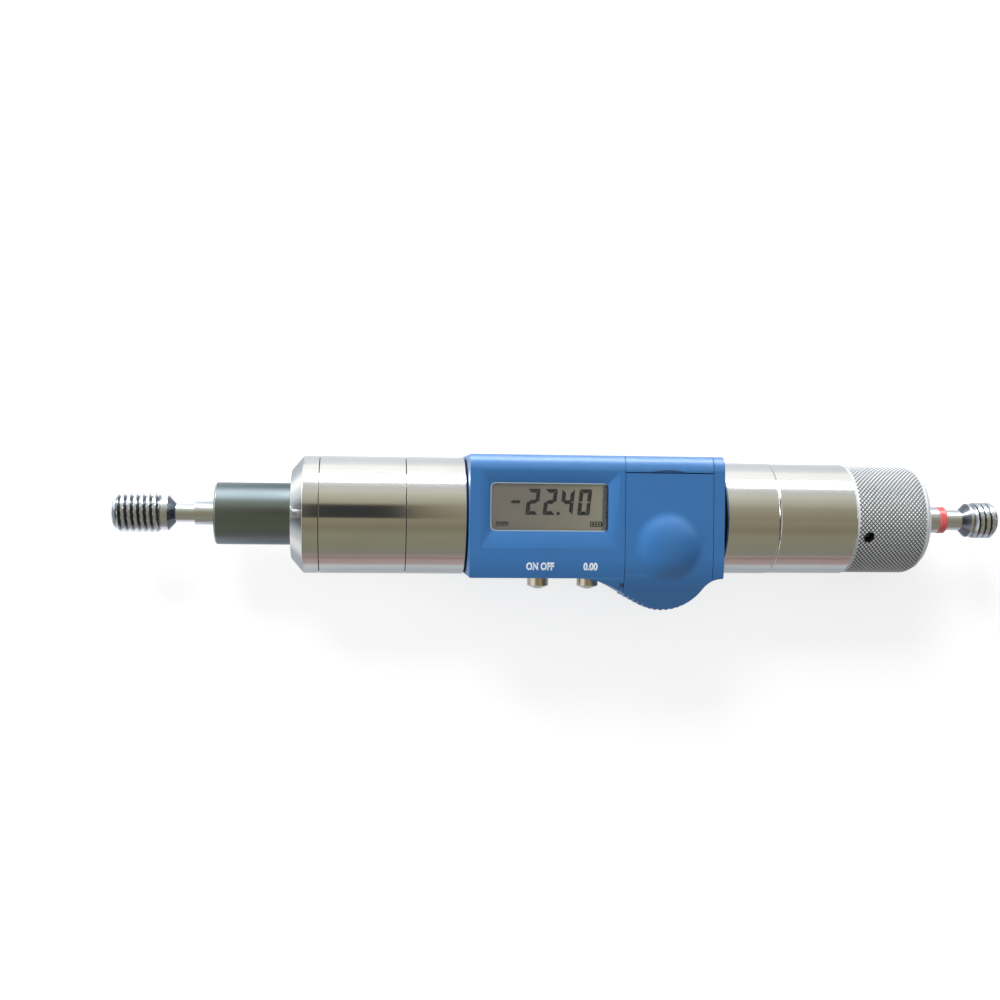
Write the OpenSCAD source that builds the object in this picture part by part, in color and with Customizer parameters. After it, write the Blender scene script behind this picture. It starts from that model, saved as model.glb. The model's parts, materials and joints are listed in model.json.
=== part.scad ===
// Digital thread gauge: a GO plug inside a sliding depth sleeve, a display housing on the tube,
// and a turning grip that carries a NO-GO plug at the other end.
// The gauge axis runs along X, the display faces +Z, and the housing rests on its back at Z = 0.

/* [Stand] */
// Height of the gauge axis above the resting face
axis_h = 13; // [12.8:0.1:16]

/* [Tubes] */
// Outside diameter of the nose, front tube and middle tube
tube_d = 24; // [22:0.1:25]
// Outside diameter of the rear tube
rear_tube_d = 23.2; // [21.5:0.1:24.5]
// Outside diameter of the core tube
core_d = 18; // [17.4:0.1:18.6]
// Bore of the core tube
core_bore_d = 14; // [13.9:0.02:14.2]
// Length of the nose cap
nose_len = 5.65; // [5.2:0.05:9]
// Diameter of the flat front of the nose cap
nose_face_d = 18.2; // [16:0.1:20]
// Length of the slope behind the flat front
nose_slope_len = 2.45; // [2:0.05:3]
// How far the core tube enters the nose cap
core_in_nose = 2; // [1:0.1:2.4]
// Length of the front tube
front_tube_len = 17.3; // [15:0.1:24]
// Length of the middle tube
mid_tube_len = 11.9; // [10:0.1:18]
// Length of the rear tube
rear_tube_len = 10.85; // [10.5:0.05:16]
// Edge break on the turned pieces
edge = 0.15; // [0.1:0.05:0.4]
// Thickness of the black ring in front of the housing
front_seal_t = 0.4; // [0.4:0.1:1.2]
// Thickness of the black ring behind the housing
rear_seal_t = 1.65; // [0.8:0.05:2]
// How much smaller the black rings are than the tubes, on the radius
seal_inset = 0.4; // [0.2:0.1:0.8]

/* [Depth sleeve] */
// Outside diameter of the depth sleeve
sleeve_d = 12.6; // [12.4:0.1:12.8]
// Bore of the depth sleeve
sleeve_bore_d = 8.6; // [8.4:0.05:9]
// How far the sleeve stands out of the nose cap
sleeve_out = 15.25; // [11:0.05:18]
// How far the sleeve can be pushed in
travel_in = 9; // [5:0.5:10]
// Length of the guide bush inside the core tube
bush_len = 12; // [8:0.5:12.5]
// Diameter of the sleeve's tail in the carriage
tail_d = 11; // [10.6:0.1:11.4]
// Length of the carriage
carriage_len = 6; // [4:0.5:7]
// Length of the carriage nut
nut_len = 2; // [1.5:0.1:3]
// Length of the wiper ring in the nose cap
wiper_len = 1.5; // [1:0.1:1.8]
// Radial depth of the wiper ring
wiper_t = 1.2; // [0.8:0.1:1.6]

/* [Scale] */
// Width of the scale bar and the scale strip
scale_w = 4.6; // [3.6:0.1:4.8]
// Thickness of the scale bar
scale_bar_t = 0.9; // [0.7:0.1:1]
// Thickness of the scale strip
scale_t = 0.5; // [0.3:0.1:0.5]
// Height of the bar's underside above the axis
scale_bar_h = 7.2; // [7.15:0.05:7.25]
// Length of the reader
reader_len = 12; // [8:0.5:13]
// Distance of the reader's middle from the housing's end
reader_inset = 11.5; // [10.5:0.5:13]

/* [Spring] */
// Wire diameter of the return spring
wire_d = 0.8; // [0.5:0.1:0.9]
// Mean diameter of the coils
coil_d = 11.4; // [11:0.1:11.8]
// Number of turns
spring_turns = 12; // [8:1:16]
// Thickness of the stop ring behind the spring
stop_t = 2; // [1.5:0.1:2.5]

/* [Thread plugs] */
// Outside diameter of the GO thread
go_d = 8; // [7.6:0.05:8.1]
// Outside diameter of the NO-GO thread
nogo_d = 7.6; // [7.2:0.05:8]
// Pitch of both threads
pitch = 1.25; // [1:0.05:1.4]
// Turns of the GO thread grid
go_turns = 6; // [4:1:7]
// Turns of the NO-GO thread grid
nogo_turns = 3; // [3:1:5]
// How far the GO plug stands out of the depth sleeve
plug_out = 20.3; // [19.5:0.1:21.5]
// Length of the plain pilot in front of the GO thread
pilot_len = 0.6; // [0.6:0.1:1.2]
// Length of the plain band behind the GO thread
band_len = 1.45; // [1:0.05:2]
// Length of the plain pilot in front of the NO-GO thread
nogo_pilot_len = 0.35; // [0.35:0.05:0.8]
// Length of the band behind the NO-GO thread
nogo_band_len = 0.85; // [0.4:0.05:1.2]
// Length of the cone behind each thread
cone_len = 1.5; // [1:0.1:2]
// Diameter of the GO plug's neck
go_neck_d = 3.76; // [3:0.05:4.2]
// Length of the GO plug's neck
go_neck_len = 3.75; // [3:0.05:4.6]
// Diameter of both plug shanks
shank_d = 4.7; // [4.4:0.05:5.2]
// How far each shank enters its holder
shank_in = 16; // [8:0.5:18]
// Diameter of the NO-GO plug's neck
nogo_neck_d = 4.2; // [3.4:0.05:4.4]
// Length of the bare NO-GO neck
nogo_neck_len = 3.35; // [2:0.05:5]
// Diameter of the NO-GO plug's collar
collar_d = 5.5; // [5.3:0.05:6.5]
// Length of the collar
collar_len = 4.95; // [3:0.05:7]
// Outside diameter of the red ring
red_ring_d = 5.6; // [5:0.05:6.6]
// Length of the red ring
red_ring_len = 1.75; // [1:0.05:2.5]

/* [Spindle and grip] */
// Diameter of the spindle
spindle_d = 8; // [7.8:0.05:8.1]
// How far the spindle's front end stands out of the nose cap
spindle_out = 0.8; // [0:0.1:3]
// Diameter of the spindle's collar
spindle_collar_d = 9.2; // [8.8:0.05:9.4]
// Running gap between the rear tube and the grip sleeve
grip_gap = 0.2; // [0.1:0.05:0.4]
// How much smaller the grip sleeve is than the rear tube, on the radius
grip_step = 0.1; // [0.05:0.05:0.3]
// Length of the grip sleeve
grip_len = 16.3; // [12:0.1:22]
// How much smaller the knurled ring is than the grip sleeve, on the radius
knurl_step = 0.2; // [0.2:0.05:0.6]
// Length of the knurled ring with its end slope
knurl_len = 16.5; // [14:0.1:20]
// Slope at the end of the knurled ring
knurl_slope = 1.5; // [0.8:0.1:2]
// Slope at the start of the knurled ring
knurl_lip = 0.3; // [0.2:0.1:0.8]
// Wall of the knurled ring round the hub
knurl_wall = 2.3; // [1.6:0.1:2.6]
// How far the spindle reaches under the knurled ring
spindle_in_knurl = 5.5; // [4:0.1:6]
// Diameter of the pin hole in the knurled ring
pin_hole_d = 2.2; // [1.9:0.1:2.6]
// Place of the pin hole behind the ring's front edge
pin_hole_x = 2.6; // [2:0.1:3]
// Angle of the pin hole from the display side
pin_hole_angle = 18.5; // [0:0.5:60]
// Diameter of the grub screw under the pin hole
grub_d = 1.8; // [1.4:0.1:1.8]
// Length of the grub screw in the hub
grub_len = 4; // [2.5:0.1:4.2]

/* [Bearings] */
// Outside diameter of the ball bearings
bearing_d = 16; // [15.6:0.1:16.4]
// Width of each bearing
bearing_w = 4; // [3.4:0.1:4.2]
// Gap between the two bearings
bearing_gap = 3; // [2.4:0.1:3.6]
// Diameter of the balls
ball_d = 2; // [1.6:0.05:2.1]
// Balls in each bearing
ball_count = 9; // [6:1:10]
// Width of the bearing retainer
retainer_w = 1; // [0.8:0.1:1.2]
// Thickness of the spindle circlip
circlip_t = 0.7; // [0.5:0.1:0.8]

/* [Housing] */
// Length of the housing
housing_len = 51; // [50:0.1:54]
// Width of the housing
housing_w = 24.8; // [24.4:0.1:27]
// How much nearer the lower long side lies to the axis than the upper one
low_inset = 0.35; // [0:0.05:0.4]
// Height of the housing's front face above the axis
front_h = 15; // [14.9:0.1:17]
// Thickness of the front wall and the side walls
skin = 1.6; // [1.4:0.05:1.8]
// Width of the round upper long edge
band_w = 3; // [2.4:0.1:3.2]
// Drop of that round edge
band_drop = 2.4; // [1.6:0.1:2.6]
// Distance below the axis at which the front face starts to bend back
bend_y = 8; // [7:0.1:9]
// Radius of that bend
bend_r = 13.8; // [12:0.1:18]
// Slope of the front face below the bend
bend_angle = 27; // [20:1:30]
// Corner radius of the housing seen from the front
corner_r = 0.3; // [0.2:0.1:1]
// Edge break on the back of the housing
back_edge = 0.8; // [0.4:0.1:1]
// Diameter of the housing screws
screw_d = 1.6; // [1.4:0.1:1.7]
// Diameter of the housing screw heads
screw_head_d = 2.8; // [2.2:0.1:2.9]
// Distance of the housing screws from the housing's ends
screw_inset_x = 3.2; // [2.8:0.1:3.4]
// Distance of the housing screws from the housing's sides
screw_inset_y = 2.3; // [2.25:0.05:2.35]
// Height of the housing screws' upper ends above the axis
screw_h = 5; // [3:0.5:6]
// Diameter of the tube lock screw
lock_screw_d = 3; // [2:0.1:3.5]

/* [Display] */
// Distance of the window from the housing's end
window_end = 4.1; // [3.8:0.1:6]
// Distance of the window from the drawer's seam
window_seam = 3.23; // [2.9:0.01:5]
// Place of the window's middle across the housing
window_y = 2; // [1.6:0.1:2.2]
// Width of the window
window_w = 9.6; // [8:0.1:10]
// Corner radius of the window
window_r = 1; // [0.5:0.1:2]
// Depth of the recess round the window
recess_depth = 1; // [0.6:0.05:1.1]
// Width of the recess slope at the window's ends
recess_end = 2.2; // [1.6:0.1:2.6]
// Width of the recess slope above the window
recess_top = 2.4; // [1.6:0.1:2.6]
// Width of the recess slope below the window
recess_low = 3.5; // [2:0.1:3.8]
// Thickness of the display panel
lcd_t = 1.4; // [1:0.1:1.5]
// Rim of the display panel behind the front wall
lcd_rim = 1.1; // [0.8:0.1:1.2]
// Height of the connector strips between board and display
strip_t = 1; // [0.8:0.1:1.1]
// Thickness of the main board
board_t = 0.8; // [0.6:0.1:0.9]
// Thickness of the reader board
reader_t = 1.1; // [0.8:0.05:1.1]

/* [Buttons] */
// Diameter of the buttons
button_d = 4.25; // [3:0.05:4.3]
// Place of the first button from the window's middle
button_shift = -1.45; // [-2.5:0.05:-1.4]
// Distance between the buttons
button_spacing = 10.1; // [9:0.1:10.5]
// Height of the buttons above the axis
button_h = 8; // [7.8:0.05:8.2]
// How far the buttons stand out of the housing
button_out = 2.4; // [1.4:0.1:3]
// Height of the slope on the buttons' ends
button_tip = 0.6; // [0.2:0.1:0.8]
// Diameter of the flat on the buttons' ends
button_flat_d = 1; // [0.6:0.1:2]
// Travel of the buttons
button_travel = 0.8; // [0.4:0.1:0.9]

/* [Battery drawer] */
// Width of the housing's strip beside the drawer
strip_w = 2.2; // [1.8:0.05:2.6]
// Length of the drawer along the housing
drawer_len = 17.97; // [17.5:0.05:18.2]
// Thickness of the drawer's plate
drawer_t = 1.4; // [1.2:0.05:1.5]
// Radius of the drawer's round end
boss_r = 8.9; // [8:0.1:9.2]
// Distance of the round end's middle from the drawer's seam
boss_in = 8.57; // [8.4:0.01:8.8]
// Distance of the round end's middle from the axis
boss_y = 9.5; // [9:0.1:10.5]
// How far the outline has swung out at the seam
seam_drop = 2.95; // [2:0.05:3.2]
// Length of the swing in front of the seam
swing_len = 9.3; // [6:0.1:11]
// Height of the round end's wall
skirt_h = 12; // [9:0.1:14]
// Radius of the bulge over the cell
dome_r = 13.5; // [12:0.1:16]
// Height of the bulge over the cell
dome_h = 1.6; // [1.5:0.1:2]
// Distance of the button cell from the drawer's seam
cell_in = 8.87; // [8.7:0.01:9.1]
// Distance of the button cell from the axis
cell_y = 5.6; // [5.4:0.1:6]
// Diameter of the button cell
cell_d = 11.6; // [11:0.1:11.8]
// Thickness of the button cell
cell_t = 4.2; // [3.4:0.05:4.25]
// Diameter of the finger ribs
rib_d = 0.9; // [0.5:0.05:1]
// How far the finger ribs stand out
rib_out = 0.3; // [0.2:0.05:0.4]
// How far the finger ribs end below the front
rib_drop = 1.3; // [0.8:0.1:3]
// Distance between the finger ribs
rib_pitch = 1.15; // [1.1:0.05:2]
// Number of finger ribs
rib_count = 13; // [8:1:13]

/* [Data port] */
// Thickness of the port cover's side plate
port_plate_t = 1.35; // [1.1:0.05:1.4]
// Length of the port pocket
port_len = 14.2; // [10:0.1:14.6]
// Depth of the port pocket behind the cover
port_depth = 7; // [6:0.1:7.2]
// Height of the port pocket's floor above the axis
port_floor_h = 8.6; // [8.5:0.05:8.7]
// Height of the port pocket
port_h = 4.4; // [4.2:0.05:4.5]
// Thickness of the connector block
connector_t = 1.2; // [0.8:0.1:1.6]
// Number of connector pins
pin_count = 5; // [3:1:6]
// Diameter of the connector pins
pin_d = 0.7; // [0.4:0.1:0.9]
// Length of the nail notch
notch_len = 6.7; // [4:0.1:9]
// Depth of the nail notch
notch_t = 0.5; // [0.3:0.1:0.8]
// How deep the nail notch is sunk from the front
notch_sink = 0.6; // [0.4:0.1:1]

/* [Fits] */
// Radial clearance of pieces pushed together
push_fit = 0.02; // [0.01:0.01:0.03]
// Radial clearance of pieces that slide or turn
run_fit = 0.05; // [0.03:0.01:0.06]
// Gap round the drawer, the port cover and the scale
loose_fit = 0.1; // [0.06:0.01:0.12]

/* [Hidden] */
$fn = 96;
// Overlap of cutting shapes past the faces that they cut
cut = 1;
// Places along the gauge axis, from the housing outwards
housing_l = -housing_len / 2;
housing_r = housing_len / 2;
strip_x = housing_r - strip_w;
drawer_x = strip_x - drawer_len;
boss_x = drawer_x + boss_in;
cell_x = drawer_x + cell_in;
window_len = drawer_x - window_seam - housing_l - window_end;
window_x = housing_l + window_end + window_len / 2;
button_x = window_x + button_shift;
reader_x = housing_l + reader_inset;
mid_r = housing_l - front_seal_t;
mid_l = mid_r - mid_tube_len;
front_l = mid_l - front_tube_len;
nose_l = front_l - nose_len;
face_x = nose_l - sleeve_out;
tip_x = face_x - plug_out;
rear_l = housing_r + rear_seal_t;
rear_r = rear_l + rear_tube_len;
grip_l = rear_r + grip_gap;
grip_r = grip_l + grip_len;
knurl_r = grip_r + knurl_len;
// Core tube and what it holds
core_r = core_d / 2;
bore_r = core_bore_d / 2;
core_end = 0.5;
core_x0 = front_l - core_in_nose;
core_x1 = rear_r - core_end;
bush_x1 = core_x0 + bush_len;
carriage_gap = 0.6;
carriage_x0 = bush_x1 + plug_out + carriage_gap;
carriage_x1 = carriage_x0 + carriage_len;
nut_x1 = carriage_x1 + nut_len;
retainer_x0 = core_x1 - retainer_w;
bearing_b_x = retainer_x0 - bearing_w;
bearing_a_x = bearing_b_x - bearing_gap - bearing_w;
stop_x = bearing_a_x - stop_t;
// Scale, long enough for the reader over the whole travel
scale_x0 = reader_x - reader_len / 2 - travel_in - cut;
scale_x1 = reader_x + reader_len / 2 + plug_out + cut;
scale_h = scale_bar_h + scale_bar_t;
slot_x0 = scale_x0 - plug_out - run_fit - carriage_gap;
slot_x1 = scale_x1 + travel_in + run_fit + carriage_gap;
scale_screw_d = 1.2;
// Spindle and grip
grip_d = rear_tube_d - 2 * grip_step;
knurl_d = grip_d - 2 * knurl_step;
hub_d = knurl_d - 2 * knurl_wall;
spindle_r = spindle_d / 2;
spindle_x0 = nose_l - spindle_out;
spindle_x1 = grip_r + spindle_in_knurl;
hub_x0 = grip_l + grip_gap;
collar_back = 1.1;
collar_x = knurl_r + collar_len;
red_x1 = collar_x + red_ring_len;
nogo_cone_x = red_x1 + nogo_neck_len;
thread_rim = 0.1;
nogo_tip_x = nogo_cone_x + cone_len + nogo_band_len + (nogo_turns + 1) * pitch + thread_rim
    + nogo_pilot_len;
pin_x = grip_r + pin_hole_x;
// Bearings
race_r = (bearing_d / 2 + spindle_r) / 2;
race_gap = 0.03;
land = 0.65;
cage_t = 0.5;
// Housing heights
front_z = axis_h + front_h;
inner_z = front_z - skin;
lcd_z = inner_z - lcd_t;
strip_z = lcd_z - strip_t;
board_z = strip_z - board_t;
reader_z = board_z - reader_t;
side_y = housing_w / 2;
inner_y = side_y - skin;
low_y = side_y - low_inset;
low_inner_y = low_y - skin;
cavity_x0 = housing_l + skin;
cavity_x1 = drawer_x - 1.2;
board_x0 = cavity_x0 + 0.5;
board_x1 = cavity_x1 - 0.5;
board_w = 17;
post_d = 3;
post_y = -6.8;
board_screw_d = 1.4;
board_screw_head = 0.8;
post_xs = [board_x0 + 1.4, (button_x + button_x + button_spacing) / 2, board_x1 - 1.4];
screw_xs = [housing_l + screw_inset_x, housing_r - screw_inset_x];
screw_ys = [-side_y + screw_inset_y, side_y - screw_inset_y];
screw_post_d = screw_d + 1.6;
screw_head_t = 1.2;
screw_sink = 0.3;
// Buttons
button_xs = [button_x, button_x + button_spacing];
button_z = axis_h + button_h;
flange_t = 0.6;
flange_d = button_d + 1;
stem_d = 1.6;
switch_w = 3.6;
switch_h = button_h - stem_d / 2 - 0.5;
switch_y = -sqrt(pow(core_r + loose_fit, 2) - pow(switch_h, 2));
switch_t = 2.6;
seal_t = 0.8;
seal_w = 0.6;
// Battery drawer
plate_z = front_z - drawer_t;
rail = 0.7;
rail_t = 0.6;
rail_z = plate_z - rail_t / 2;
bay_half = cell_d / 2 + 1.3;
contact_t = 0.2;
contact_w = 1.8;
negative_y = -cell_y + 0.4;
positive_y = negative_y + contact_w + 0.4;
floor_z = board_z - contact_t;
cell_z = board_z + run_fit;
skirt_z = front_z - skirt_h;
skirt_y = -low_y - loose_fit;
boss_y0 = -boss_y;
swing_x = drawer_x - swing_len;
seam_y = -low_y - seam_drop;
fillet_r = 4.5;
// Data port
port_y1 = side_y - port_plate_t - loose_fit;
port_y0 = port_y1 - port_depth;
port_z = axis_h + port_floor_h;
port_band_y = side_y - band_w - 0.3;
port_band_t = skin + 0.3;
port_skirt_z = port_z - 2.4;
port_mid = drawer_x + drawer_len / 2;
pin_len = 0.6;

// Turns a shape drawn along Z so that it runs along the gauge axis from place x
module on_axis(x) {
    translate([x, 0, axis_h]) rotate([0, 90, 0]) children();
}

// Turned piece from a list of [place along the axis, radius]
module turned(points) {
    on_axis(0) rotate_extrude() polygon([for (p = points) [p[1], p[0]]]);
}

module rod(x0, x1, r) {
    on_axis(x0) cylinder(h = x1 - x0, r = r);
}

// Plain ring between two places along the axis
module ring(x0, x1, outer, inner) {
    turned([[x0, inner], [x0, outer], [x1, outer], [x1, inner]]);
}

// Ring with its outer edges broken by two slopes
module tube(x0, x1, outer, inner, slope0, slope1) {
    turned([[x0, inner], [x0, outer - slope0], [x0 + slope0, outer], [x1 - slope1, outer],
        [x1, outer - slope1], [x1, inner]]);
}

module block(x0, x1, y0, y1, z0, z1) {
    translate([x0, y0, z0]) cube([x1 - x0, y1 - y0, z1 - z0]);
}

// Bar along the gauge axis with an outline in Y and Z
module bar(x0, x1, outline) {
    translate([x0, 0, 0]) rotate([90, 0, 90]) linear_extrude(x1 - x0) polygon(outline);
}

// Shape along Z laid so that it runs along +Y from a point
module toward_y(x, y, z) {
    translate([x, y, z]) rotate([-90, 0, 0]) children();
}

// Rounded rectangle in X and Y
module rounded(x0, x1, y0, y1, r) {
    translate([x0 + r, y0]) square([x1 - x0 - 2 * r, y1 - y0]);
    translate([x0, y0 + r]) square([x1 - x0, y1 - y0 - 2 * r]);
    for (x = [x0 + r, x1 - r], y = [y0 + r, y1 - r]) translate([x, y]) circle(r);
}

// Thread plug along +Z from its tip: plain rings, a helical thread, then plain rings
thread_sides = 32;
thread_knots = [0, 0.25, 0.5625, 0.6875];
thread_depth = 0.541;
knot_count = len(thread_knots);

function plug_ring(z, r) =
    [for (i = [0 : thread_sides - 1])
        let (a = 360 * i / thread_sides) [r * cos(a), r * sin(a), z]];

function crest(k, r) = k % knot_count < 2 ? r - thread_depth * pitch : r;

function thread_point(i, k, z0, r, r0, r1, z1) =
    let (a = 360 * i / thread_sides,
        z = z0 + (floor(k / knot_count) + thread_knots[k % knot_count] + i / thread_sides) * pitch,
        s = min(crest(k, r), r0 + z - z0, r1 + z1 - z))
    [s * cos(a), s * sin(a), z];

module thread_plug(r, turns, front, back) {
    n = thread_sides;
    rows = knot_count * turns;
    z0 = front[len(front) - 1][0] + 0.05;
    z1 = z0 + (turns + 1) * pitch;
    r0 = front[len(front) - 1][1];
    r1 = back[0][1];
    grid = 1 + len(front) * n;
    tail = grid + n * (rows + 1);
    last = tail + len(back) * n;
    points = concat([[0, 0, front[0][0]]],
        [for (p = front) each plug_ring(p[0], p[1])],
        [for (i = [0 : n - 1], k = [0 : rows]) thread_point(i, k, z0, r, r0, r1, z1)],
        [for (p = back) each plug_ring(p[0], p[1])],
        [[0, 0, back[len(back) - 1][0]]]);
    f0 = 1 + (len(front) - 1) * n;
    b1 = tail + (len(back) - 1) * n;
    front_cap = [for (i = [0 : n - 1]) [0, 1 + i, 1 + (i + 1) % n]];
    back_cap = [for (i = [0 : n - 1]) [last, b1 + (i + 1) % n, b1 + i]];
    front_wall = len(front) < 2 ? [] : ring_walls(1, len(front), n);
    back_wall = len(back) < 2 ? [] : ring_walls(tail, len(back), n);
    start = [for (i = [0 : n - 2])
        each quad(f0 + i, f0 + i + 1, grid + (i + 1) * (rows + 1), grid + i * (rows + 1))];
    start_step = let (p = grid + (n - 1) * (rows + 1)) concat(
        [for (k = [knot_count : -1 : 1]) [p, grid + k, grid + k - 1]],
        [[p, grid, f0], [p, f0, f0 + n - 1]]);
    middle = [for (i = [0 : n - 2], k = [0 : rows - 1])
        let (a = grid + i * (rows + 1) + k, b = a + rows + 1) each quad(a, b, b + 1, a + 1)];
    seam = [for (k = [0 : rows - knot_count - 1])
        let (a = grid + (n - 1) * (rows + 1) + k, b = grid + k + knot_count)
        each quad(a, b, b + 1, a + 1)];
    finish = [for (i = [0 : n - 2])
        let (a = grid + i * (rows + 1) + rows) each quad(a, a + rows + 1, tail + i + 1, tail + i)];
    finish_step = let (q = grid + rows, e = grid + (n - 1) * (rows + 1) + rows) concat(
        [for (k = [knot_count : -1 : 1]) [q, e - k, e - k + 1]],
        [[q, e, tail + n - 1], [q, tail + n - 1, tail]]);
    polyhedron(points, concat(front_cap, back_cap, front_wall, back_wall, start, start_step,
        middle, seam, finish, finish_step), convexity = 10);
}

// Two triangles of a four-sided face, seen clockwise from outside
function quad(a, b, c, d) = [[a, d, c], [a, c, b]];

function ring_walls(first, count, n) =
    [for (j = [0 : count - 2], i = [0 : n - 1])
        let (a = first + j * n + i, b = first + j * n + (i + 1) % n)
        each quad(a, b, b + n, a + n)];

// Fixed tubes and rings
module core_tube() {
    color("silver") difference() {
        ring(core_x0, core_x1, core_r, bore_r);
        rod(bearing_a_x, core_x1 + cut, bearing_d / 2);
        block(slot_x0, slot_x1, -scale_w / 2 - loose_fit, scale_w / 2 + loose_fit,
            axis_h + bore_r - cut, axis_h + core_r + cut);
        translate([0, 0, axis_h - core_r - cut]) cylinder(h = core_r, d = lock_screw_d);
    }
}

module nose_cap() {
    sleeve_way = sleeve_d / 2 + run_fit;
    wiper_x0 = nose_l + 1.2;
    color("gainsboro") difference() {
        turned([[nose_l, sleeve_way], [nose_l, nose_face_d / 2],
            [nose_l + nose_slope_len, tube_d / 2], [front_l - edge, tube_d / 2],
            [front_l, tube_d / 2 - edge], [front_l, sleeve_way]]);
        rod(core_x0, front_l + cut, core_r + push_fit);
        rod(wiper_x0, wiper_x0 + wiper_len, sleeve_d / 2 + wiper_t + push_fit);
    }
}

module nose_wiper() {
    wiper_x0 = nose_l + 1.2;
    color("black") ring(wiper_x0, wiper_x0 + wiper_len, sleeve_d / 2 + wiper_t,
        sleeve_d / 2 + run_fit);
}

module guide_bush() {
    color("peru") ring(core_x0, bush_x1, bore_r - push_fit, sleeve_d / 2 + run_fit);
}

module front_tube() {
    color("gainsboro") tube(front_l, mid_l, tube_d / 2, core_r + push_fit, edge, edge);
}

module middle_tube() {
    color("gainsboro") tube(mid_l, mid_r, tube_d / 2, core_r + push_fit, edge, edge);
}

module rear_tube() {
    color("gainsboro") tube(rear_l, rear_r, rear_tube_d / 2, core_r + push_fit, edge, edge);
}

module front_seal() {
    color("black") ring(mid_r, housing_l, tube_d / 2 - seal_inset, core_r + push_fit);
}

module rear_seal() {
    color("black") ring(housing_r, rear_l, rear_tube_d / 2 - seal_inset, core_r + push_fit);
}

// Section of the front across the housing: round upper edge, flat face, bend and slope
band_steps = 8;
bend_steps = 6;
far_y = 3 * side_y;
bend_end_y = bend_y + bend_r * sin(bend_angle);
bend_end_z = front_z - bend_r * (1 - cos(bend_angle));
front_section = concat([[-far_y, -cut], [side_y, -cut]],
    [for (i = [0 : band_steps]) let (a = 90 * i / band_steps)
        [side_y - band_w + band_w * cos(a), front_z - band_drop + band_drop * sin(a)]],
    [for (i = [0 : bend_steps]) let (a = bend_angle * i / bend_steps)
        [-bend_y - bend_r * sin(a), front_z - bend_r * (1 - cos(a))]],
    [[-far_y, bend_end_z - (far_y - bend_end_y) * tan(bend_angle)]]);
base_outline = [[-low_y, axis_h], [-low_y, back_edge], [back_edge - low_y, 0],
    [side_y - back_edge, 0], [side_y, back_edge], [side_y, axis_h]];

// Keeps what lies behind the front, set back by a depth
module behind_front(depth) {
    intersection() {
        children();
        translate([0, 0, -depth]) bar(housing_l - cut, housing_r + cut, front_section);
    }
}

// Plan of the housing between two heights
module housing_plan(z0, z1) {
    translate([0, 0, z0]) linear_extrude(z1 - z0)
        rounded(housing_l, housing_r, -low_y, side_y, corner_r);
}

// Swing of the lower edge towards the battery drawer
function swing(t) = [swing_x + t * swing_len, -low_y - seam_drop * t * t];

module tube_way() {
    rod(housing_l - cut, housing_r + cut, core_r + push_fit);
}

module recess() {
    x0 = window_x - window_len / 2;
    x1 = window_x + window_len / 2;
    y0 = window_y - window_w / 2;
    y1 = window_y + window_w / 2;
    hull() {
        block(x0, x1, y0, y1, front_z - recess_depth, front_z - recess_depth + 0.01);
        block(x0 - recess_end, x1 + recess_end, y0 - recess_low, y1 + recess_top, front_z,
            front_z + 0.01);
    }
    translate([0, 0, inner_z - cut]) linear_extrude(skin + cut)
        rounded(x0 - push_fit, x1 + push_fit, y0 - push_fit, y1 + push_fit, window_r);
}

module cover_cavity() {
    difference() {
        block(cavity_x0, cavity_x1, -low_inner_y, inner_y, axis_h - cut, inner_z);
        for (x = post_xs) translate([x, post_y, board_z + board_t])
            cylinder(h = front_z, d = post_d);
        for (x = screw_xs, y = screw_ys) translate([x, y, 0])
            cylinder(h = axis_h + screw_h + cut, d = screw_post_d);
    }
    for (x = post_xs) translate([x, post_y, strip_z])
        cylinder(h = strip_t + lcd_t - 0.6, d = board_screw_d + 2 * push_fit);
}

// Room for the battery drawer, its cell and its rails
module drawer_room() {
    block(drawer_x, strip_x, -2 * side_y, port_band_y, plate_z - loose_fit, front_z + cut);
    block(drawer_x - rail - loose_fit, strip_x + rail + loose_fit, -2 * side_y, port_band_y,
        rail_z - loose_fit, rail_z + rail_t + loose_fit);
    block(cell_x - bay_half, cell_x + bay_half, -2 * side_y, bay_half - cell_y, floor_z,
        front_z);
}

// Room for the port cover and the plug behind it
module port_room() {
    block(drawer_x, strip_x, port_band_y - loose_fit, 2 * side_y,
        front_z - port_band_t - loose_fit, front_z + cut);
    block(drawer_x, strip_x, port_y1, 2 * side_y, port_skirt_z - loose_fit, front_z + cut);
    block(port_mid - port_len / 2, port_mid + port_len / 2, port_y0, side_y + cut, port_z,
        port_z + port_h);
}

module button_ways() {
    for (x = button_xs) {
        toward_y(x, -2 * side_y, button_z)
            cylinder(h = 2 * side_y - low_inner_y + cut, d = button_d + 2 * run_fit);
        toward_y(x, -low_inner_y - skin / 2 - seal_t / 2, button_z)
            cylinder(h = seal_t, d = button_d + 2 * run_fit + 2 * seal_w + 2 * push_fit);
    }
}

// Slits that lead the battery contacts from the bay to the board
module contact_slits() {
    for (y = [negative_y, positive_y]) block(board_x1 - 1, cell_x, y - push_fit,
        y + contact_w + push_fit, floor_z, floor_z + contact_t + push_fit);
}

module housing_cover() {
    color("steelblue") difference() {
        behind_front(0) {
            housing_plan(axis_h, front_z);
            translate([0, 0, skirt_z]) linear_extrude(skirt_h)
                polygon(concat([[swing_x, -low_inner_y]], [for (t = [0 : 0.125 : 1]) swing(t)],
                    [[drawer_x, -low_inner_y]]));
            translate([0, 0, skirt_z]) linear_extrude(skirt_h) intersection() {
                boss_fillet();
                translate([strip_x, -2 * side_y])
                    square([strip_w - corner_r, 2 * side_y]);
            }
        }
        tube_way();
        recess();
        cover_cavity();
        drawer_room();
        port_room();
        button_ways();
        contact_slits();
        for (x = screw_xs, y = screw_ys) translate([x, y, axis_h - cut])
            cylinder(h = screw_h + cut, d = screw_d + 2 * push_fit);
    }
}

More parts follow.
